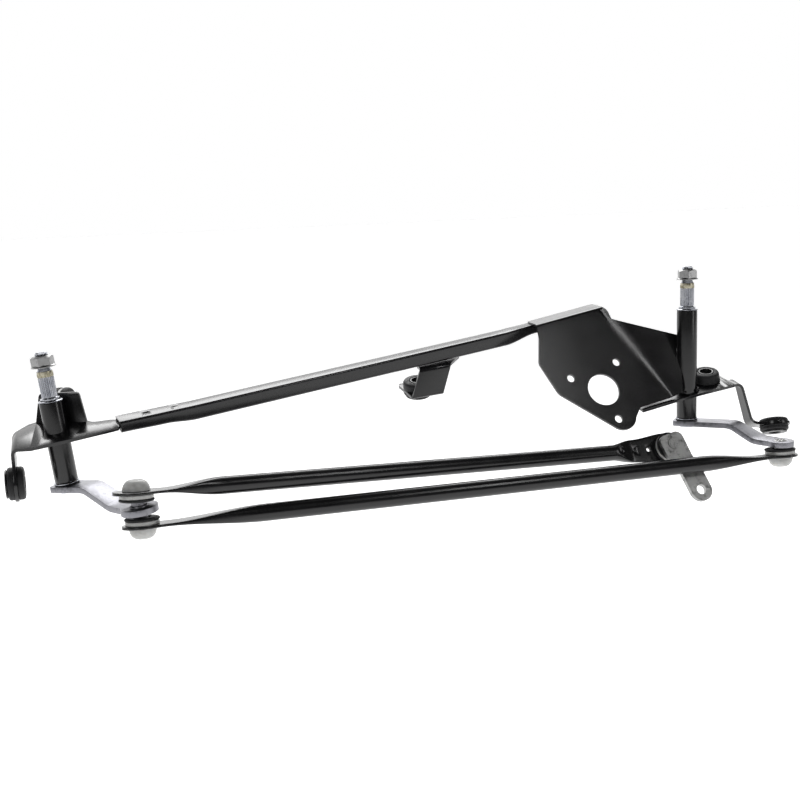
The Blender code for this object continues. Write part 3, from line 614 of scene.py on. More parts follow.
# ---- frame -------------------------------------------------------------------------------
def on_plate(side, x, y, depth=SHEET / 2):
    base = (LEFT_PIVOT + LEFT_AXIS * LEFT_PLATE_HEIGHT if side == "left"
            else RIGHT_PIVOT + UP * RIGHT_PLATE_HEIGHT)
    return base + COWL_X * x + COWL_Y * y - COWL_NORMAL * depth


def plate_rows(side, spans):
    return [(on_plate(side, x, front), on_plate(side, x, back)) for x, front, back in spans]


def eye_rows(centre, along, across, start, radius=GROMMET_RADIUS + 1.35, steps=22):
    first = math.degrees(math.acos(max(-1.0, min(1.0, start / radius))))
    rows = []
    for i in range(steps + 1):
        turn = math.radians(-first + (first + 84) * i / steps)
        middle = centre + along * radius * math.sin(turn)
        half = across * radius * math.cos(turn)
        rows.append((middle - half, middle + half))
    return rows


def left_bracket():
    """The left stamping, painted, with its two mounts."""
    rows = [(on_plate("left", 57, -15.4, 2.9), on_plate("left", 57, -8.0, 2.9)),
            (on_plate("left", 45.9, -17.8, 1.5), on_plate("left", 45.9, -9.2, 1.5))]
    rows += plate_rows("left", [(45.3, -20.4, -7.6), (44.7, -22.1, -7.2), (40, -22.5, -5.0),
                                (30, -22.8, -2.9), (27, -22.85, -1.6), (24, -22.9, 2.0),
                                (10, -23.3, 8.6), (-14.5, -23.0, 20.4), (-20, -22.8, 19.4)])
    front, back = on_plate("left", -32.2, -17.5), on_plate("left", -32.2, 9.5)
    front += COWL_X * ((LOWER_LEFT_GROMMET.x - front.x) / COWL_X.x)
    back += COWL_X * ((LOWER_LEFT_GROMMET.x - back.x) / COWL_X.x)
    rows.append((front, back, 4.5))
    rows += eye_rows(LOWER_LEFT_GROMMET, -UP, BACK, 11.5)
    foot_left, foot_right = on_plate("left", -14.3, 19.2), on_plate("left", 23.2, 1.4)
    along = foot_right - foot_left
    along.z = 0
    along.normalize()
    behind = UP.cross(along)
    rise, taper = UP * 24.0, along * 4.5
    upright = folded([(foot_left, foot_right),
                      (foot_left + rise * 0.9 + taper * 0.95, foot_right + rise * 0.9 - taper * 0.95),
                      (foot_left + rise * 0.97 + taper * 1.15,
                       foot_right + rise * 0.97 - taper * 1.15),
                      (foot_left + rise + taper * 1.5, foot_right + rise - taper * 1.5)], SHEET)
    lug_start = REAR_GROMMET - behind * (REAR_GROMMET - foot_left).dot(behind)
    lug = folded([(lug_start - UP * 9, lug_start + UP * 9),
                  (REAR_GROMMET - behind * 8 - UP * 10.5, REAR_GROMMET - behind * 8 + UP * 10)]
                 + eye_rows(REAR_GROMMET, behind, UP, 11.0, 12.2), SHEET)
    cuts = [grommet_hole(REAR_GROMMET, along), grommet_hole(LOWER_LEFT_GROMMET, RIGHT),
            drill(PIVOTS["left"], HOUSING_RADIUS + 0.1, 160)]
    piece("left_stamping", worked(folded(rows, SHEET), cuts, [upright, lug], edge=0.4),
          PAINT, "black_paint", "frame", "left_bracket")
    rubber_mount("left_rear", REAR_GROMMET, along)
    rubber_mount("left_lower", LOWER_LEFT_GROMMET, RIGHT)


def right_bracket():
    """The right stamping, painted, with its two mounts."""
    spot_x, spot_y = UPPER_RIGHT_SPOT
    edge = GROMMET_RADIUS + 2.9
    spans = [(-52.5, -16.0, 9.0), (-44, -15.5, 16.0), (-19.9, -13.4, 21.0), (0, -12.4, 23.0)]
    for turn in range(112, -29, -7):
        spans.append((spot_x + edge * math.cos(math.radians(turn)), -12.4,
                      spot_y + edge * math.sin(math.radians(turn))))
    rows = plate_rows("right", spans)[:-1]
    rows += [(on_plate("right", 41.5, -12.2), on_plate("right", 41.5, -1.8)),
             (on_plate("right", 48.0, -11.8), on_plate("right", 48.0, -1.8), 6.0)]
    along = Vector((1, -0.1, -0.07))
    along = (along - LOWER_RIGHT_AXIS * along.dot(LOWER_RIGHT_AXIS)).normalized()
    across = LOWER_RIGHT_AXIS.cross(along).normalized()
    foot = LOWER_RIGHT_GROMMET - along * 24.0
    rows.append((foot - across * 6.0, foot + across * 6.0, 7.0))
    rows += eye_rows(LOWER_RIGHT_GROMMET, along, across, 9.0)
    spot = on_plate("right", spot_x, spot_y)
    cuts = [grommet_hole(spot, COWL_NORMAL),
            grommet_hole(LOWER_RIGHT_GROMMET, LOWER_RIGHT_AXIS),
            drill(PIVOTS["right"], HOUSING_RADIUS + 0.1, 160)]
    piece("right_stamping", worked(folded(rows, SHEET), cuts, edge=0.4), PAINT, "black_paint",
          "frame", "right_bracket")
    rubber_mount("right_upper", spot, COWL_NORMAL, 9.8, 4.4, flare=1.6)
    rubber_mount("right_lower", LOWER_RIGHT_GROMMET, LOWER_RIGHT_AXIS, 5.2, 6.2)


def motor_point(x, y, depth=0.0):
    return MOTOR_CENTRE + MOTOR_X * x + MOTOR_Y * y - MOTOR_NORMAL * depth


def motor_bracket():
    """Motor plate, top flange and gusset as one sheet, cut flat and then bent twice."""
    to_plate = axes(MOTOR_CENTRE, MOTOR_NORMAL, MOTOR_X).inverted()
    top, foot = Vector((36.4, 60.0)), Vector((59.0, -24.2))
    down = (foot - top).normalized()
    out = Vector((-down.y, down.x))
    angles = []

    def unrolled(point):
        """Where a point of the bent gusset lies in the flat sheet."""
        local = to_plate @ point
        flat = Vector((local.x, local.y)) - top
        away = math.hypot(flat.dot(out), local.z)
        angles.append(math.atan2(local.z, flat.dot(out)))
        return tuple(top + down * flat.dot(down) + out * away)

    far_top = unrolled(GUSSET_TOP + MOTOR_NORMAL * 1.2)
    far_foot = unrolled(GUSSET_FOOT + MOTOR_NORMAL * 1.2)
    bend = sum(angles) / 2
    flange_y, flange_turn, flange_deep = 73.2, math.radians(60), 26.5
    outline = ([far_foot, tuple(foot), (27.0, -24.4)] + [(24.6, -25.6)]
               + arc((5.8, -26.8), 13.0, -24, -143, 20)
               + [(-40.0, 6.4), (-41.4, 9.4), (-43.7, 21.3), (-46.7, 37.9), (-46.2, 40.2),
                  (-36.4, 62.0), (-35.4, 65.5), (-34.2, flange_y),
                  (-29.6, flange_y + flange_deep - 1.5), (-28.4, flange_y + flange_deep),
                  (37.6, flange_y + flange_deep), (38.2, flange_y + flange_deep - 1.2),
                  (33.8, flange_y)]
               + [(34.6, 71.4), (35.9, 67.8)] + [tuple(top)] + [far_top])
    work = bmesh.new()
    work.faces.new([work.verts.new((x, y, 0)) for x, y in outline])

    def strips(origin, normal, reach, count):
        for i in range(count + 1):
            at = origin + normal * (-reach + 2 * reach * i / count)
            bmesh.ops.bisect_plane(work, geom=work.verts[:] + work.edges[:] + work.faces[:],
                                   plane_co=(at.x, at.y, 0), plane_no=(normal.x, normal.y, 0),
                                   dist=1e-5)

    strips(Vector((0, flange_y)), Vector((0, 1)), 2.2, 8)
    strips(top, out, 9.0, 18)
    for i in range(1, 9):
        at = top + down * (i * 10)
        bmesh.ops.bisect_plane(work, geom=work.verts[:] + work.edges[:] + work.faces[:],
                               plane_co=(at.x, at.y, 0), plane_no=(down.x, down.y, 0),
                               dist=1e-5)
    bmesh.ops.triangulate(work, faces=work.faces)

    def bent(distance, angle, width):
        """Distance along and height off the sheet after a round bend of the given width."""
        s = distance + width / 2
        if s <= 0:
            return distance, 0.0
        radius = width / abs(angle)
        turn = min(s / width, 1.0) * abs(angle)
        beyond = max(s - width, 0.0)
        x = radius * math.sin(turn) + beyond * math.cos(turn) - width / 2
        z = radius * (1 - math.cos(turn)) + beyond * math.sin(turn)
        return x, math.copysign(z, angle)

    for vert in work.verts:
        flat = Vector((vert.co.x, vert.co.y)) - top
        if vert.co.y > flange_y - 2.2:
            y, z = bent(vert.co.y - flange_y, -flange_turn, 4.4)
            vert.co.y, vert.co.z = flange_y + y, z
            continue
        share = min(max(flat.dot(down) / 87.0, 0.0), 1.0)
        away, z = bent(flat.dot(out), bend, 15.0 * (1 - share) + 3.0)
        spot = top + down * flat.dot(down) + out * away
        vert.co = (spot.x, spot.y, z)
    bmesh.ops.transform(work, matrix=axes(MOTOR_CENTRE, MOTOR_NORMAL, MOTOR_X), verts=work.verts)
    for face in work.faces:
        face.normal_update()
        if face.normal.dot(MOTOR_NORMAL) < 0:
            face.normal_flip()
    sheet = bpy.data.meshes.new("sheet")
    work.to_mesh(sheet)
    work.free()
    holder = bpy.data.objects.new("sheet", sheet)
    bpy.context.scene.collection.objects.link(holder)
    solid = holder.modifiers.new("thick", "SOLIDIFY")
    solid.thickness, solid.offset = SHEET, -1
    solid.use_even_offset = True
    bpy.context.view_layer.update()
    thick = bpy.data.meshes.new_from_object(
        holder.evaluated_get(bpy.context.evaluated_depsgraph_get()))
    bpy.data.objects.remove(holder, do_unlink=True)
    cuts = [drill(axes(MOTOR_CENTRE, MOTOR_NORMAL, MOTOR_X), MOTOR_HOLE, 16, 96),
            drill(PIVOTS["right"], HOUSING_RADIUS + 0.1, 260)]
    for radius, angle in MOTOR_BOLTS:
        turn = math.radians(angle)
        cuts.append(drill(axes(motor_point(radius * math.cos(turn), radius * math.sin(turn)),
                               MOTOR_NORMAL, MOTOR_X), BOLT_HOLE, 16, 40))
    piece("motor_plate", worked(thick, cuts, edge=0.35), PAINT, "black_paint", "frame",
          "motor_bracket", smooth=24)


def centre_bracket():
    """Pad, slanted leg and foot of the middle mount."""
    level = Vector((1, 0, 0.085)).normalized()
    rear = CENTRE_NORMAL.cross(level)

    def foot(x, y):
        return CENTRE_GROMMET + level * x + rear * y

    pad_left, pad_right = Vector((27.0, 35.5, 63.6)), Vector((68.0, 42.5, 68.6))
    top_left, top_right = Vector((26.5, 24.5, 63.0)), Vector((54.0, 24.5, 64.9))
    rows = [(pad_left, pad_right), (top_left, top_right, 3.0),
            (foot(-10.6, -16.2), foot(17.4, -16.2), 1.6), (foot(-11.6, -6), foot(16.0, -6)),
            (foot(-14.0, 10), foot(12.6, 10)), (foot(-13.6, 12.2), foot(11.0, 12.2)),
            (foot(-12.4, 13.6), foot(8.0, 13.6))]
    piece("centre_stamping", worked(folded(rows, SHEET),
                                    [grommet_hole(CENTRE_GROMMET, CENTRE_NORMAL)], edge=0.4),
          PAINT, "black_paint", "frame", "centre_bracket")
    rubber_mount("centre", CENTRE_GROMMET, CENTRE_NORMAL, 8.6, 4.2)


def tube_section(corner, width, height, tilt, shrink):
    """Round-cornered rectangle of the frame tube, made smaller all round by shrink."""
    along = (TUBE_STATIONS[3][0] - TUBE_STATIONS[2][0]).normalized()
    level = UP.cross(along).normalized()
    upright = along.cross(level)
    cos, sin = math.cos(math.radians(tilt)), math.sin(math.radians(tilt))
    across, down = level * cos + upright * sin, level * sin - upright * cos
    low, wide, deep = shrink, width - shrink, height - shrink
    ease = 1.9 if not shrink else 0.7
    spots = []
    for (a, b), start in (((wide - ease, low + ease), -90), ((wide - ease, deep - ease), 0),
                          ((low + ease, deep - ease), 90), ((low + ease, low + ease), 180)):
        spots += arc((a, b), ease, start, start + 90, 6)
    return [corner + across * a + down * b for a, b in spots]


def frame_tube():
    """The rectangular tube, eased from its full section to the pressed ends."""
    stations = []
    for (near, *low), (far, *high) in zip(TUBE_STATIONS, TUBE_STATIONS[1:]):
        for step in range(12):
            t = step / 12
            smooth = t * t * (3 - 2 * t)
            stations.append((near.lerp(far, t), *[a + (b - a) * smooth
                                                  for a, b in zip(low, high)]))
    stations.append(TUBE_STATIONS[-1])
    outer = [tube_section(*station, 0) for station in stations]
    inner = [tube_section(*station, TUBE_WALL) for station in stations]
    dents = []
    along = (TUBE_STATIONS[3][0] - TUBE_STATIONS[2][0]).normalized()
    for at in (20.0, 42.0):
        middle = stations[0][0] + along * at
        dent = turned([(0, 1.1), (1.0, 0.9), (1.6, 0.3), (1.6, -0.3), (1.0, -0.9), (0, -1.1)],
                      Matrix.Identity(4), closed=False, sides=24)
        dent.transform(axes(middle + Vector((0, 8.0, 1.9)), UP, along)
                       @ Matrix.Diagonal((2.4, 0.9, 0.9, 1)))
        dents.append(dent)
    piece("frame_tube_painted", worked(skinned(outer, inner), dents, edge=0.3, sharp=50), PAINT,
          "black_paint", "frame", "frame_tube")


# ---- pivots ------------------------------------------------------------------------------
def pivot(side):
    """Housing, bushes and cap on the frame, shaft, nut and washers on the crank."""
    low, top, place, body = HOUSING_LOW[side], HOUSING_TOP[side], PIVOTS[side], side + "_crank"
    piece(side + "_housing_tube", turned(ring(HOUSING_RADIUS, HOUSING_BORE, low, top), place,
                                         ease=0.5), PAINT, "black_paint", "frame",
          side + "_housing")
    for name, start in (("lower", low + 0.4), ("upper", top - BUSH_LENGTH - 2.4)):
        piece(f"{side}_{name}_bush_bronze",
              turned(ring(BUSH_OUTER, BUSH_BORE, start, start + BUSH_LENGTH), place),
              BRONZE, "bronze", "frame", f"{side}_{name}_bush")
    piece(side + "_cap_ring", turned([(9.5, top + 0.9), (9.55, top + GAP), (8.0, top + GAP),
                                      (7.2, top + GAP), (7.2, top + 1.2), (8.2, top + 1.4)],
                                     place, ease=0.35), STEEL, "steel", "frame",
          side + "_dust_cap")
    collar, thread_low = top + KNURL_LENGTH, top + KNURL_LENGTH + COLLAR_LENGTH
    end, rivet = top + SHAFT_TOP, -CRANK_THICK / 2 - GAP
    piece(side + "_shaft_steel", turned(
        [(0, end), (THREAD_RADIUS - 1.0, end), (THREAD_RADIUS - 0.5, end - 0.8),
         (THREAD_RADIUS - 0.5, thread_low - GAP), (4.6, thread_low - 0.8),
         (4.8, thread_low - 1.6), (SHAFT_RADIUS - 0.1, thread_low - 3.2),
         (SHAFT_RADIUS - 0.1, collar + 1.0), (SHAFT_RADIUS - 0.6, collar + 0.2),
         (SHAFT_RADIUS - 0.6, top + 3.6), (SHAFT_RADIUS, top + 3.0), (SHAFT_RADIUS, rivet),
         (7.4, rivet), (6.6, rivet - 1.2), (5.2, rivet - 1.4), (2.4, rivet - 0.9),
         (0, rivet - 0.9)], place, closed=False), STEEL, "steel", body, side + "_shaft")
    knurl = ridges(side + "_knurl_ridges", STEEL, place, 26, SHAFT_RADIUS - 0.56, 0.78,
                   KNURL_LENGTH - 4.4, top + 3.8 + (KNURL_LENGTH - 4.4) / 2)
    piece(side + "_knurl", knurl, STEEL, "steel", body, smooth=20)
    teeth = ridges(side + "_collar_ridges", COLLAR, place, 24, SHAFT_RADIUS - 0.4, 0.8,
                   2.6, collar + 1.0)
    band = turned([(SHAFT_RADIUS - 0.05, thread_low - 3.0), (SHAFT_RADIUS, collar + 2.0),
                   (SHAFT_RADIUS - 0.2, collar - 0.2), (5.2, collar - 0.2),
                   (5.2, thread_low - 3.0)], place, ease=0.15)
    piece(side + "_collar", merged(teeth, band), COLLAR, "steel", body)
    piece(side + "_thread", thread(side + "_thread_ridge", STEEL, place, THREAD_RADIUS - 0.5,
                                   1.25, end - 3.6, end - 0.7), STEEL, "steel", body)
    piece(side + "_circlip_ring", turned(ring(7.3, SHAFT_RADIUS + 0.1, top + 1.9, top + 2.9),
                                         place), STEEL, "steel", body, side + "_circlip")
    piece(side + "_seal_ring", turned(ring(9.3, SHAFT_RADIUS + 0.1, 2.5, 3.4), place, ease=0.4),
          RUBBER, "rubber", body, side + "_shaft_seal")
    piece(side + "_wave_washer", turned(ring(9.6, SHAFT_RADIUS + 0.1, 3.6, 4.4), place, ease=0.3),
          STEEL, "zinc", body, side + "_thrust_washer")
    wiper_nut(side, thread_low, place, body)


def wiper_nut(side, seat, place, body):
    """Flanged nut with chamfered corners."""
    across = NUT_FLATS / math.sqrt(3)
    hexagon = [(across * math.cos(math.radians(60 * i + 10)),
                across * math.sin(math.radians(60 * i + 10))) for i in range(6)]
    blank = prism(hexagon, seat + 0.9, seat + NUT_HEIGHT, place)
    chamfer = turned([(0, seat + NUT_HEIGHT + 0.2), (6.6, seat + NUT_HEIGHT),
                      (8.9, seat + NUT_HEIGHT - 1.7), (8.9, seat + 0.4), (0, seat + 0.4)],
                     place, closed=False, ease=0)
    flange = turned([(0, seat + 2.2), (NUT_FLATS / 2 - 0.4, seat + 2.0), (8.9, seat + 1.1),
                     (9.3, seat + 0.5), (9.0, seat), (0, seat)], place, closed=False, ease=0.15)
    bore = drill(place @ Matrix.Translation((0, 0, seat + 5)), THREAD_RADIUS + 0.1, 30)
    trimmed = worked(blank, keeps=[chamfer], edge=0)
    piece(side + "_wiper_nut_plated", worked(trimmed, [bore], [flange], edge=0.22, sharp=35),
          NUT_ZINC, "zinc", body, side + "_wiper_nut")


# ---- cranks ------------------------------------------------------------------------------
def flat(angle):
    return Vector((math.cos(math.radians(angle)), math.sin(math.radians(angle)), 0))


def crank(side):
    """Stamped crank: squared hub with round corners, ramp, and the eye of the ball stud."""
    place = PIVOTS[side]
    out = flat(HUB_ANGLE)
    drop = UP * CRANK_DROP[side]
    knee = out * HUB_LENGTH[side]
    eye = flat(CRANK_ANGLE) * CRANK_THROW
    second = (eye - knee).normalized()
    ramp_end = knee + second * RAMP_LENGTH[side] - drop
    eye = eye - drop
    side_one, side_two = UP.cross(out), UP.cross(second)
    knee_side = (side_one + side_two).normalized()
    half, reach = CRANK_HALF_WIDTH, CRANK_EYE[side]

    def row(centre, across, width, *leg):
        return (centre - across * width, centre + across * width, *leg)

    rows = [row(out * at, side_one, half - inset) for at, inset in
            ((-10.8, 3.0), (-10.6, 2.0), (-10.0, 1.0), (-9.0, 0.3), (-7.6, 0.0))]
    rows += [row(knee, knee_side, half, 5.0), row(ramp_end, side_two, half, 5.0)]
    first = -math.degrees(math.acos(min(1.0, half / reach)))
    for i in range(26):
        turn = math.radians(first + (84 - first) * i / 25)
        rows.append(row(eye + second * reach * math.sin(turn), side_two, reach * math.cos(turn)))
    mesh = folded(rows, CRANK_THICK)
    mesh.transform(place)
    cuts = [drill(place, SHAFT_RADIUS + 0.1, 20),
            drill(place @ Matrix.Translation(eye), STEM_RADIUS + 0.1, 20)]
    piece(side + "_crank_plated", worked(mesh, cuts, edge=0.7, segments=3), ZINC, "zinc",
          side + "_crank", side + "_crank_arm")
    return eye


def ball_points(centre, start, end, steps=16):
    return arc((0, centre), BALL_RADIUS, start, end, steps)


def stamped_mark(name, placement, radius):
    """Small raised teeth where a stud's head was spun over."""
    return ridges(name, DARK_ZINC, placement, 8, radius, 1.3, 0.8, 0.0)


def single_stud(name, place, body, node, mark):
    """Ball stud with its head spun over the arm."""
    face = CRANK_THICK / 2 + GAP - 0.15
    neck = math.degrees(math.asin(STEM_RADIUS / BALL_RADIUS))
    head = [(0, face + 0.1), (2.0, face + 0.12), (4.7, face + 0.2), (5.2, face - 0.05),
            (STEM_RADIUS, face - 0.1)]
    profile = head + ball_points(-SINGLE_REACH, 90 - neck, -90)
    profile[-1] = (0, -SINGLE_REACH - BALL_RADIUS)
    body_mesh = turned(profile, place, closed=False, ease=0.12)
    teeth = stamped_mark(name + "_mark", place @ Matrix.Translation((0, 0, face + 0.25)), mark)
    piece(name, merged(body_mesh, teeth), DARK_ZINC, "zinc", body, node)


def double_stud(name, place, body, node):
    """Stud with a ball on each side of the arm."""
    face = CRANK_THICK / 2 + GAP - 0.2
    neck = math.degrees(math.asin(STEM_RADIUS / BALL_RADIUS))
    upper = ball_points(DOUBLE_REACH, 90, neck - 90)
    half = upper + [(STEM_RADIUS, face + 1.2), (6.4, face + 1.0), (6.8, face),
                    (STEM_RADIUS, face)]
    half[0] = (0, DOUBLE_REACH + BALL_RADIUS)
    piece(name, turned(half + [(r, -z) for r, z in reversed(half)], place, closed=False,
                       ease=0.12), ZINC, "zinc", body, node)


# ---- link rods ---------------------------------------------------------------------------
def square_to(along, normal):
    return (normal - along * normal.dot(along)).normalized()


def rod_section(centre, across, normal, half, thick, square):
    """Ring of points that runs from a circle to a flat oblong as square grows."""
    power = 2.0 / (2.0 + 5.0 * square)
    points = []
    for i in range(40):
        turn = 2 * math.pi * (i + 0.5) / 40
        cos, sin = math.cos(turn), math.sin(turn)
        points.append(centre + across * half * math.copysign(abs(cos) ** power, cos)
                      + normal * thick * math.copysign(abs(sin) ** power, sin))
    return points


def rod_sections(start, end, normals, necks, tips):
    """Sections from the tip of one eye to the tip of the other, eased at every change."""
    along, length = (end - start).normalized(), (end - start).length

    def end_stations(tip, neck):
        spots = [(-tip * math.cos(math.radians(turn)), EYE_RADIUS * math.sin(math.radians(turn)),
                  1.0) for turn in range(12, 91, 6)]
        flat_end, full = neck
        for i in range(1, 7):
            t = i / 6
            ease = t * t * (3 - 2 * t)
            spots.append((flat_end * t, EYE_RADIUS + (ROD_FLAT_HALF - EYE_RADIUS) * ease, 1.0))
        for i in range(1, 19):
            t = i / 18
            smooth = 1 - t * t * (3 - 2 * t)
            half = ROD_RADIUS + (ROD_FLAT_HALF - ROD_RADIUS) * smooth
            spots.append((flat_end + (full - flat_end) * t, half, smooth))
        return spots

    front = end_stations(tips[0], necks[0])
    back = [(length - at, half, flatness)
            for at, half, flatness in reversed(end_stations(tips[1], necks[1]))]
    first, second = square_to(along, normals[0]), square_to(along, normals[1])
    turn = math.atan2(first.cross(second).dot(along), first.dot(second))
    skip = round(turn / (2 * math.pi / 40))
    sections = []
    for i, (at, half, flatness) in enumerate(front + back):
        thick = ROD_RADIUS + (ROD_FLAT_THICK - ROD_RADIUS) * flatness
        normal = first if i < len(front) else second
        section = rod_section(start + along * at, normal.cross(along), normal, half, thick,
                              flatness)
        if i >= len(front):
            section = section[-skip:] + section[:-skip]
        sections.append(section)
    return sections


def rod(name, start, end, normals, necks, tips, node, body, extra=()):
    """Tube pressed flat at both ends; the flats show the slit of the tube that they were."""
    outer = rod_sections(start, end, normals, necks, tips)
    along = (end - start).normalized()
    cuts = [drill(axes(spot, square_to(along, normal), RIGHT), EYE_HOLE, 12)
            for spot, normal in zip((start, end), normals)]
    for spot, normal in zip((start, end), normals):
        facing = square_to(along, normal)
        slit = prism([(-17.5, -12), (-12.5, -12), (-12.5, 12), (-17.5, 12)], -0.15, 0.15,
                     axes(spot, facing, along if spot is start else -along))
        cuts.append(slit)
    piece(name, worked(skinned(outer), cuts + list(extra), edge=0.3, sharp=50), PAINT,
          "black_paint", body, node)


def socket(name, centre, other, outward, body):
    """Nylon cup in the eye of its rod, dome outward, and the boot at its mouth."""
    place = axes(centre, square_to((other - centre).normalized(), outward), RIGHT)
    lip = ROD_FLAT_THICK + 0.1
    cup, mouth = BALL_RADIUS + 0.4, -4.2
    inside = arc((0, 0), cup, math.degrees(math.asin(mouth / cup)), 90, 14)
    inside[-1] = (0, cup)
    outside = [(0, 9.5), (2.0, 9.48), (4.2, 9.3), (5.6, 8.9), (6.9, 8.2), (7.9, 7.3), (8.7, 6.2),
               (9.3, 5.0), (9.7, 3.8), (10.0, lip + 0.5), (10.1, lip), (EYE_HOLE - 0.1, lip),
               (EYE_HOLE - 0.1, -lip), (12.1, -lip), (12.3, -lip - 0.5), (12.3, mouth + 0.4),
               (11.9, mouth)]
    piece(name + "_cup", turned(outside + inside, place, closed=False, ease=0.15), NYLON,
          "nylon", body, name + "_socket")
    piece(name + "_boot_rubber", turned(
        [(11.9, mouth - 0.1), (12.7, mouth - 0.5), (12.8, mouth - 1.2), (12.5, mouth - 1.8),
         (11.4, mouth - 2.3), (9.0, mouth - 2.4), (6.9, mouth - 2.4), (6.7, mouth - 1.6),
         (6.8, mouth - 0.1)], place, ease=0.4), RUBBER, "rubber", body, name + "_boot")


def linkage():
    """Cranks and studs, the two rods with their cups, and the loose motor crank."""
    left_eye, right_eye = crank("left"), crank("right")
    double_stud("left_double_stud", PIVOTS["left"] @ Matrix.Translation(left_eye), "left_crank",
                "left_ball_stud")
    single_stud("right_stud", PIVOTS["right"] @ Matrix.Translation(right_eye), "right_crank",
                "right_ball_stud", 3.4)
    upper = PIVOTS["left"] @ (left_eye + UP * DOUBLE_REACH)
    lower = PIVOTS["left"] @ (left_eye - UP * DOUBLE_REACH)
    right = RIGHT_PIVOT + right_eye - UP * SINGLE_REACH
    ball = MOTOR_RIVET - MOTOR_NORMAL * SINGLE_REACH
    rod("long_rod", lower, right, (ROD_ROLL, ROD_ROLL), ((18, 90), (14, 75)), (15.0, 14.4),
        "long_link_rod", "long_link")
    socket("long_left", lower, right, -ROD_ROLL, "long_link")
    socket("long_right", right, lower, -ROD_ROLL, "long_link")
    along = (ball - upper).normalized()
    facing = square_to(along, MOTOR_NORMAL)
    pin_hole = drill(axes(ball - along * 19.5, MOTOR_NORMAL, RIGHT), 1.8, 12, 24)
    press = [pin_hole]
    for at, lift, wide, deep in ((46.5, 5.9, 5.0, 2.6), (33.5, 1.9, 3.0, 1.2)):
        dent = turned(arc((0, 0), 1.0, 90, -90, 16), Matrix.Identity(4), closed=False,
                      ease=0, sides=32)
        dent.transform(axes(ball - along * at + facing * lift, facing, along)
                       @ Matrix.Diagonal((wide, wide, deep, 1)))
        press.append(dent)
    rod("short_rod", upper, ball, (ROD_ROLL, MOTOR_NORMAL), ((18, 62), (34, 54)), (17.0, 13.0),
        "short_link_rod", "short_link", press)
    socket("short_left", upper, ball, ROD_ROLL, "short_link")
    socket("short_right", ball, upper, -MOTOR_NORMAL, "short_link")
    motor_crank(ball)


def motor_crank(ball):
    """Stepped arm with a spun stud at the top and the motor shaft's hole at the bottom."""
    hub = axes(ball, MOTOR_NORMAL, RIGHT)
    down = hub.to_3x3().inverted() @ MOTOR_ARM_DOWN
    down.z = 0
    down.normalize()
    across = UP.cross(down)
    base, step, half = UP * SINGLE_REACH, UP * MOTOR_ARM_STEP, MOTOR_ARM_HALF

    def row(at, lift, width, *leg):
        centre = base + down * at + lift
        return (centre - across * width, centre + across * width, *leg)

    nothing = Vector((0, 0, 0))
    rows = []
    for i in range(12):
        turn = math.radians(8 + 82 * i / 11)
        rows.append(row(-9.4 + 6.4 * (1 - math.cos(turn)), nothing, 4.8 + 6.4 * math.sin(turn)))
    rows += [row(16.0, nothing, 10.6, 3.0), row(24.0, step, half, 3.0)]
    for i in range(22):
        turn = math.radians(84 * i / 21)
        rows.append(row(MOTOR_ARM_LENGTH + half * math.sin(turn), step, half * math.cos(turn)))
    mesh = folded(rows, MOTOR_ARM_THICK)
    mesh.transform(hub)
    hole = hub @ Matrix.Translation(base + down * MOTOR_ARM_LENGTH + step)
    cuts = [drill(hub @ Matrix.Translation(base), STEM_RADIUS + 0.1, 16),
            drill(hole, MOTOR_ARM_HOLE, 16)]
    piece("motor_crank_plated", worked(mesh, cuts, edge=0.6, segments=3), DARK_ZINC, "zinc",
          "motor_crank", "motor_crank_arm")
    single_stud("motor_stud", hub @ Matrix.Translation(base), "motor_crank", "motor_ball_stud",
                3.2)


def welds():
    """Beads where the stampings meet the tube and the housings."""
    runs = [
        ("gusset_weld", (257.0, 2.0, 60.0), (256.6, -3.4, 40.0), 1.1),
        ("base_weld_left", (256.4, -5.5, 28.6), (259.6, -9.0, 28.0), 1.0),
        ("base_weld_right", (270.5, -9.2, 29.2), (274.6, -5.4, 31.2), 1.0),
        ("pad_weld", (40.0, 27.6, 65.6), (52.0, 29.6, 67.0), 0.9),
        ("flange_weld", (145.0, 43.6, 93.6), (168.0, 46.2, 97.4), 1.0)]
    for name, start, end, radius in runs:
        drops = weld(name + "_drops", Vector(start), Vector(end), radius)
        piece(name, drops, PAINT, "black_paint", "frame", smooth=60)


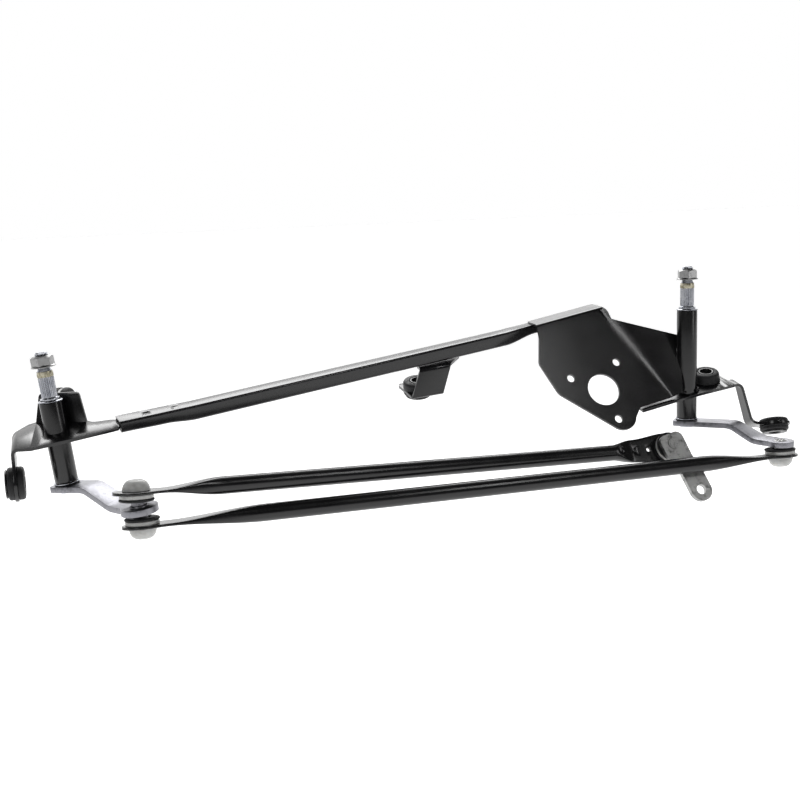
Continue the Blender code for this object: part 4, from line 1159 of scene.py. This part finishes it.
# ---- room --------------------------------------------------------------------------------
def studio():
    """Pale floor, soft light from above and behind, and the camera."""
    work = bmesh.new()
    bmesh.ops.create_grid(work, x_segments=1, y_segments=1, size=30)
    mesh = bpy.data.meshes.new("floor")
    work.to_mesh(mesh)
    work.free()
    floor = bpy.data.objects.new("floor", mesh)
    floor.location = (0, 10, -0.42)
    floor_finish = Finish("pale_floor", (0.9, 0.9, 0.9), 0.9, Specular_IOR_Level=0.0,
                          Emission_Color=(1, 1, 1, 1), Emission_Strength=0.62)
    mesh.materials.append(floor_finish.material)
    bpy.context.scene.collection.objects.link(floor)

    world = bpy.data.worlds.new("studio")
    bpy.context.scene.world = world
    world.use_nodes = True
    nodes, links = world.node_tree.nodes, world.node_tree.links
    direction = nodes.new("ShaderNodeTexCoord").outputs["Generated"]
    split = nodes.new("ShaderNodeSeparateXYZ")
    links.new(direction, split.inputs[0])
    back = nodes.new("ShaderNodeMapRange")
    back.interpolation_type = "SMOOTHSTEP"
    for socket, value in (("From Min", 0.1), ("From Max", 0.7), ("To Min", 0.06),
                          ("To Max", 1.5)):
        back.inputs[socket].default_value = value
    links.new(split.outputs["Y"], back.inputs["Value"])
    seen = nodes.new("ShaderNodeLightPath")
    mix = nodes.new("ShaderNodeMix")
    links.new(seen.outputs["Is Camera Ray"], mix.inputs["Factor"])
    links.new(back.outputs["Result"], mix.inputs["A"])
    mix.inputs["B"].default_value = 1.0
    links.new(mix.outputs["Result"], nodes["Background"].inputs["Strength"])
    nodes["Background"].inputs["Color"].default_value = (1, 1, 1, 1)

    def lamp(name, place, target, size, power, colour=(1, 1, 1)):
        light = bpy.data.lights.new(name, "AREA")
        light.shape, light.size, light.size_y = "RECTANGLE", size[0], size[1]
        light.energy, light.color = power, colour
        made = bpy.data.objects.new(name, light)
        made.matrix_world = axes(Vector(place), Vector(place) - Vector(target), RIGHT)
        bpy.context.scene.collection.objects.link(made)

    eye = Vector((-242.16, -867.97, 198.95))
    lamp("overhead", (0.25, 1.5, 1.5), (0, 0, 0), (2.4, 0.8), 34)
    lamp("front_left", (-1.3, -1.5, 1.0), (0, 0, 0), (0.7, 0.9), 6)
    lamp("front_right", (1.5, -1.2, 0.5), (0.1, 0, 0), (0.35, 1.1), 4)
    bend = Vector((225.0, -4.0, 62.0))
    sight = (bend - eye).normalized()
    flank = (GUSSET_TOP - GUSSET_FOOT).cross(GUSSET_TOP - motor_point(36.4, 60.0)).normalized()
    flank *= math.copysign(1.0, flank.dot(MOTOR_NORMAL))
    middle = (MOTOR_NORMAL + flank).normalized()
    glint = sight - middle * 2 * sight.dot(middle)
    start = (bend - CENTRE_GROMMET) * MM
    lamp("bend_strip", start + glint * 3.0, start, (0.115, 1.15), 6.5)

    bpy.context.scene.view_settings.view_transform = "Standard"
    right = Vector((0.960, -0.276, -0.039)).normalized()
    ahead = Vector((0.266, 0.949, -0.171))
    ahead = (ahead - right * ahead.dot(right)).normalized()
    camera = bpy.data.cameras.new("camera")
    camera.lens, camera.sensor_width, camera.clip_start = 49.96, 36, 0.01
    made = bpy.data.objects.new("camera", camera)
    turn = Matrix((right, right.cross(ahead), -ahead)).transposed().to_4x4()
    turn.translation = (eye - CENTRE_GROMMET) * MM
    made.matrix_world = turn
    bpy.context.scene.collection.objects.link(made)
    bpy.context.scene.camera = made


studio()
left_bracket()
right_bracket()
motor_bracket()
centre_bracket()
frame_tube()
pivot("left")
pivot("right")
linkage()
welds()
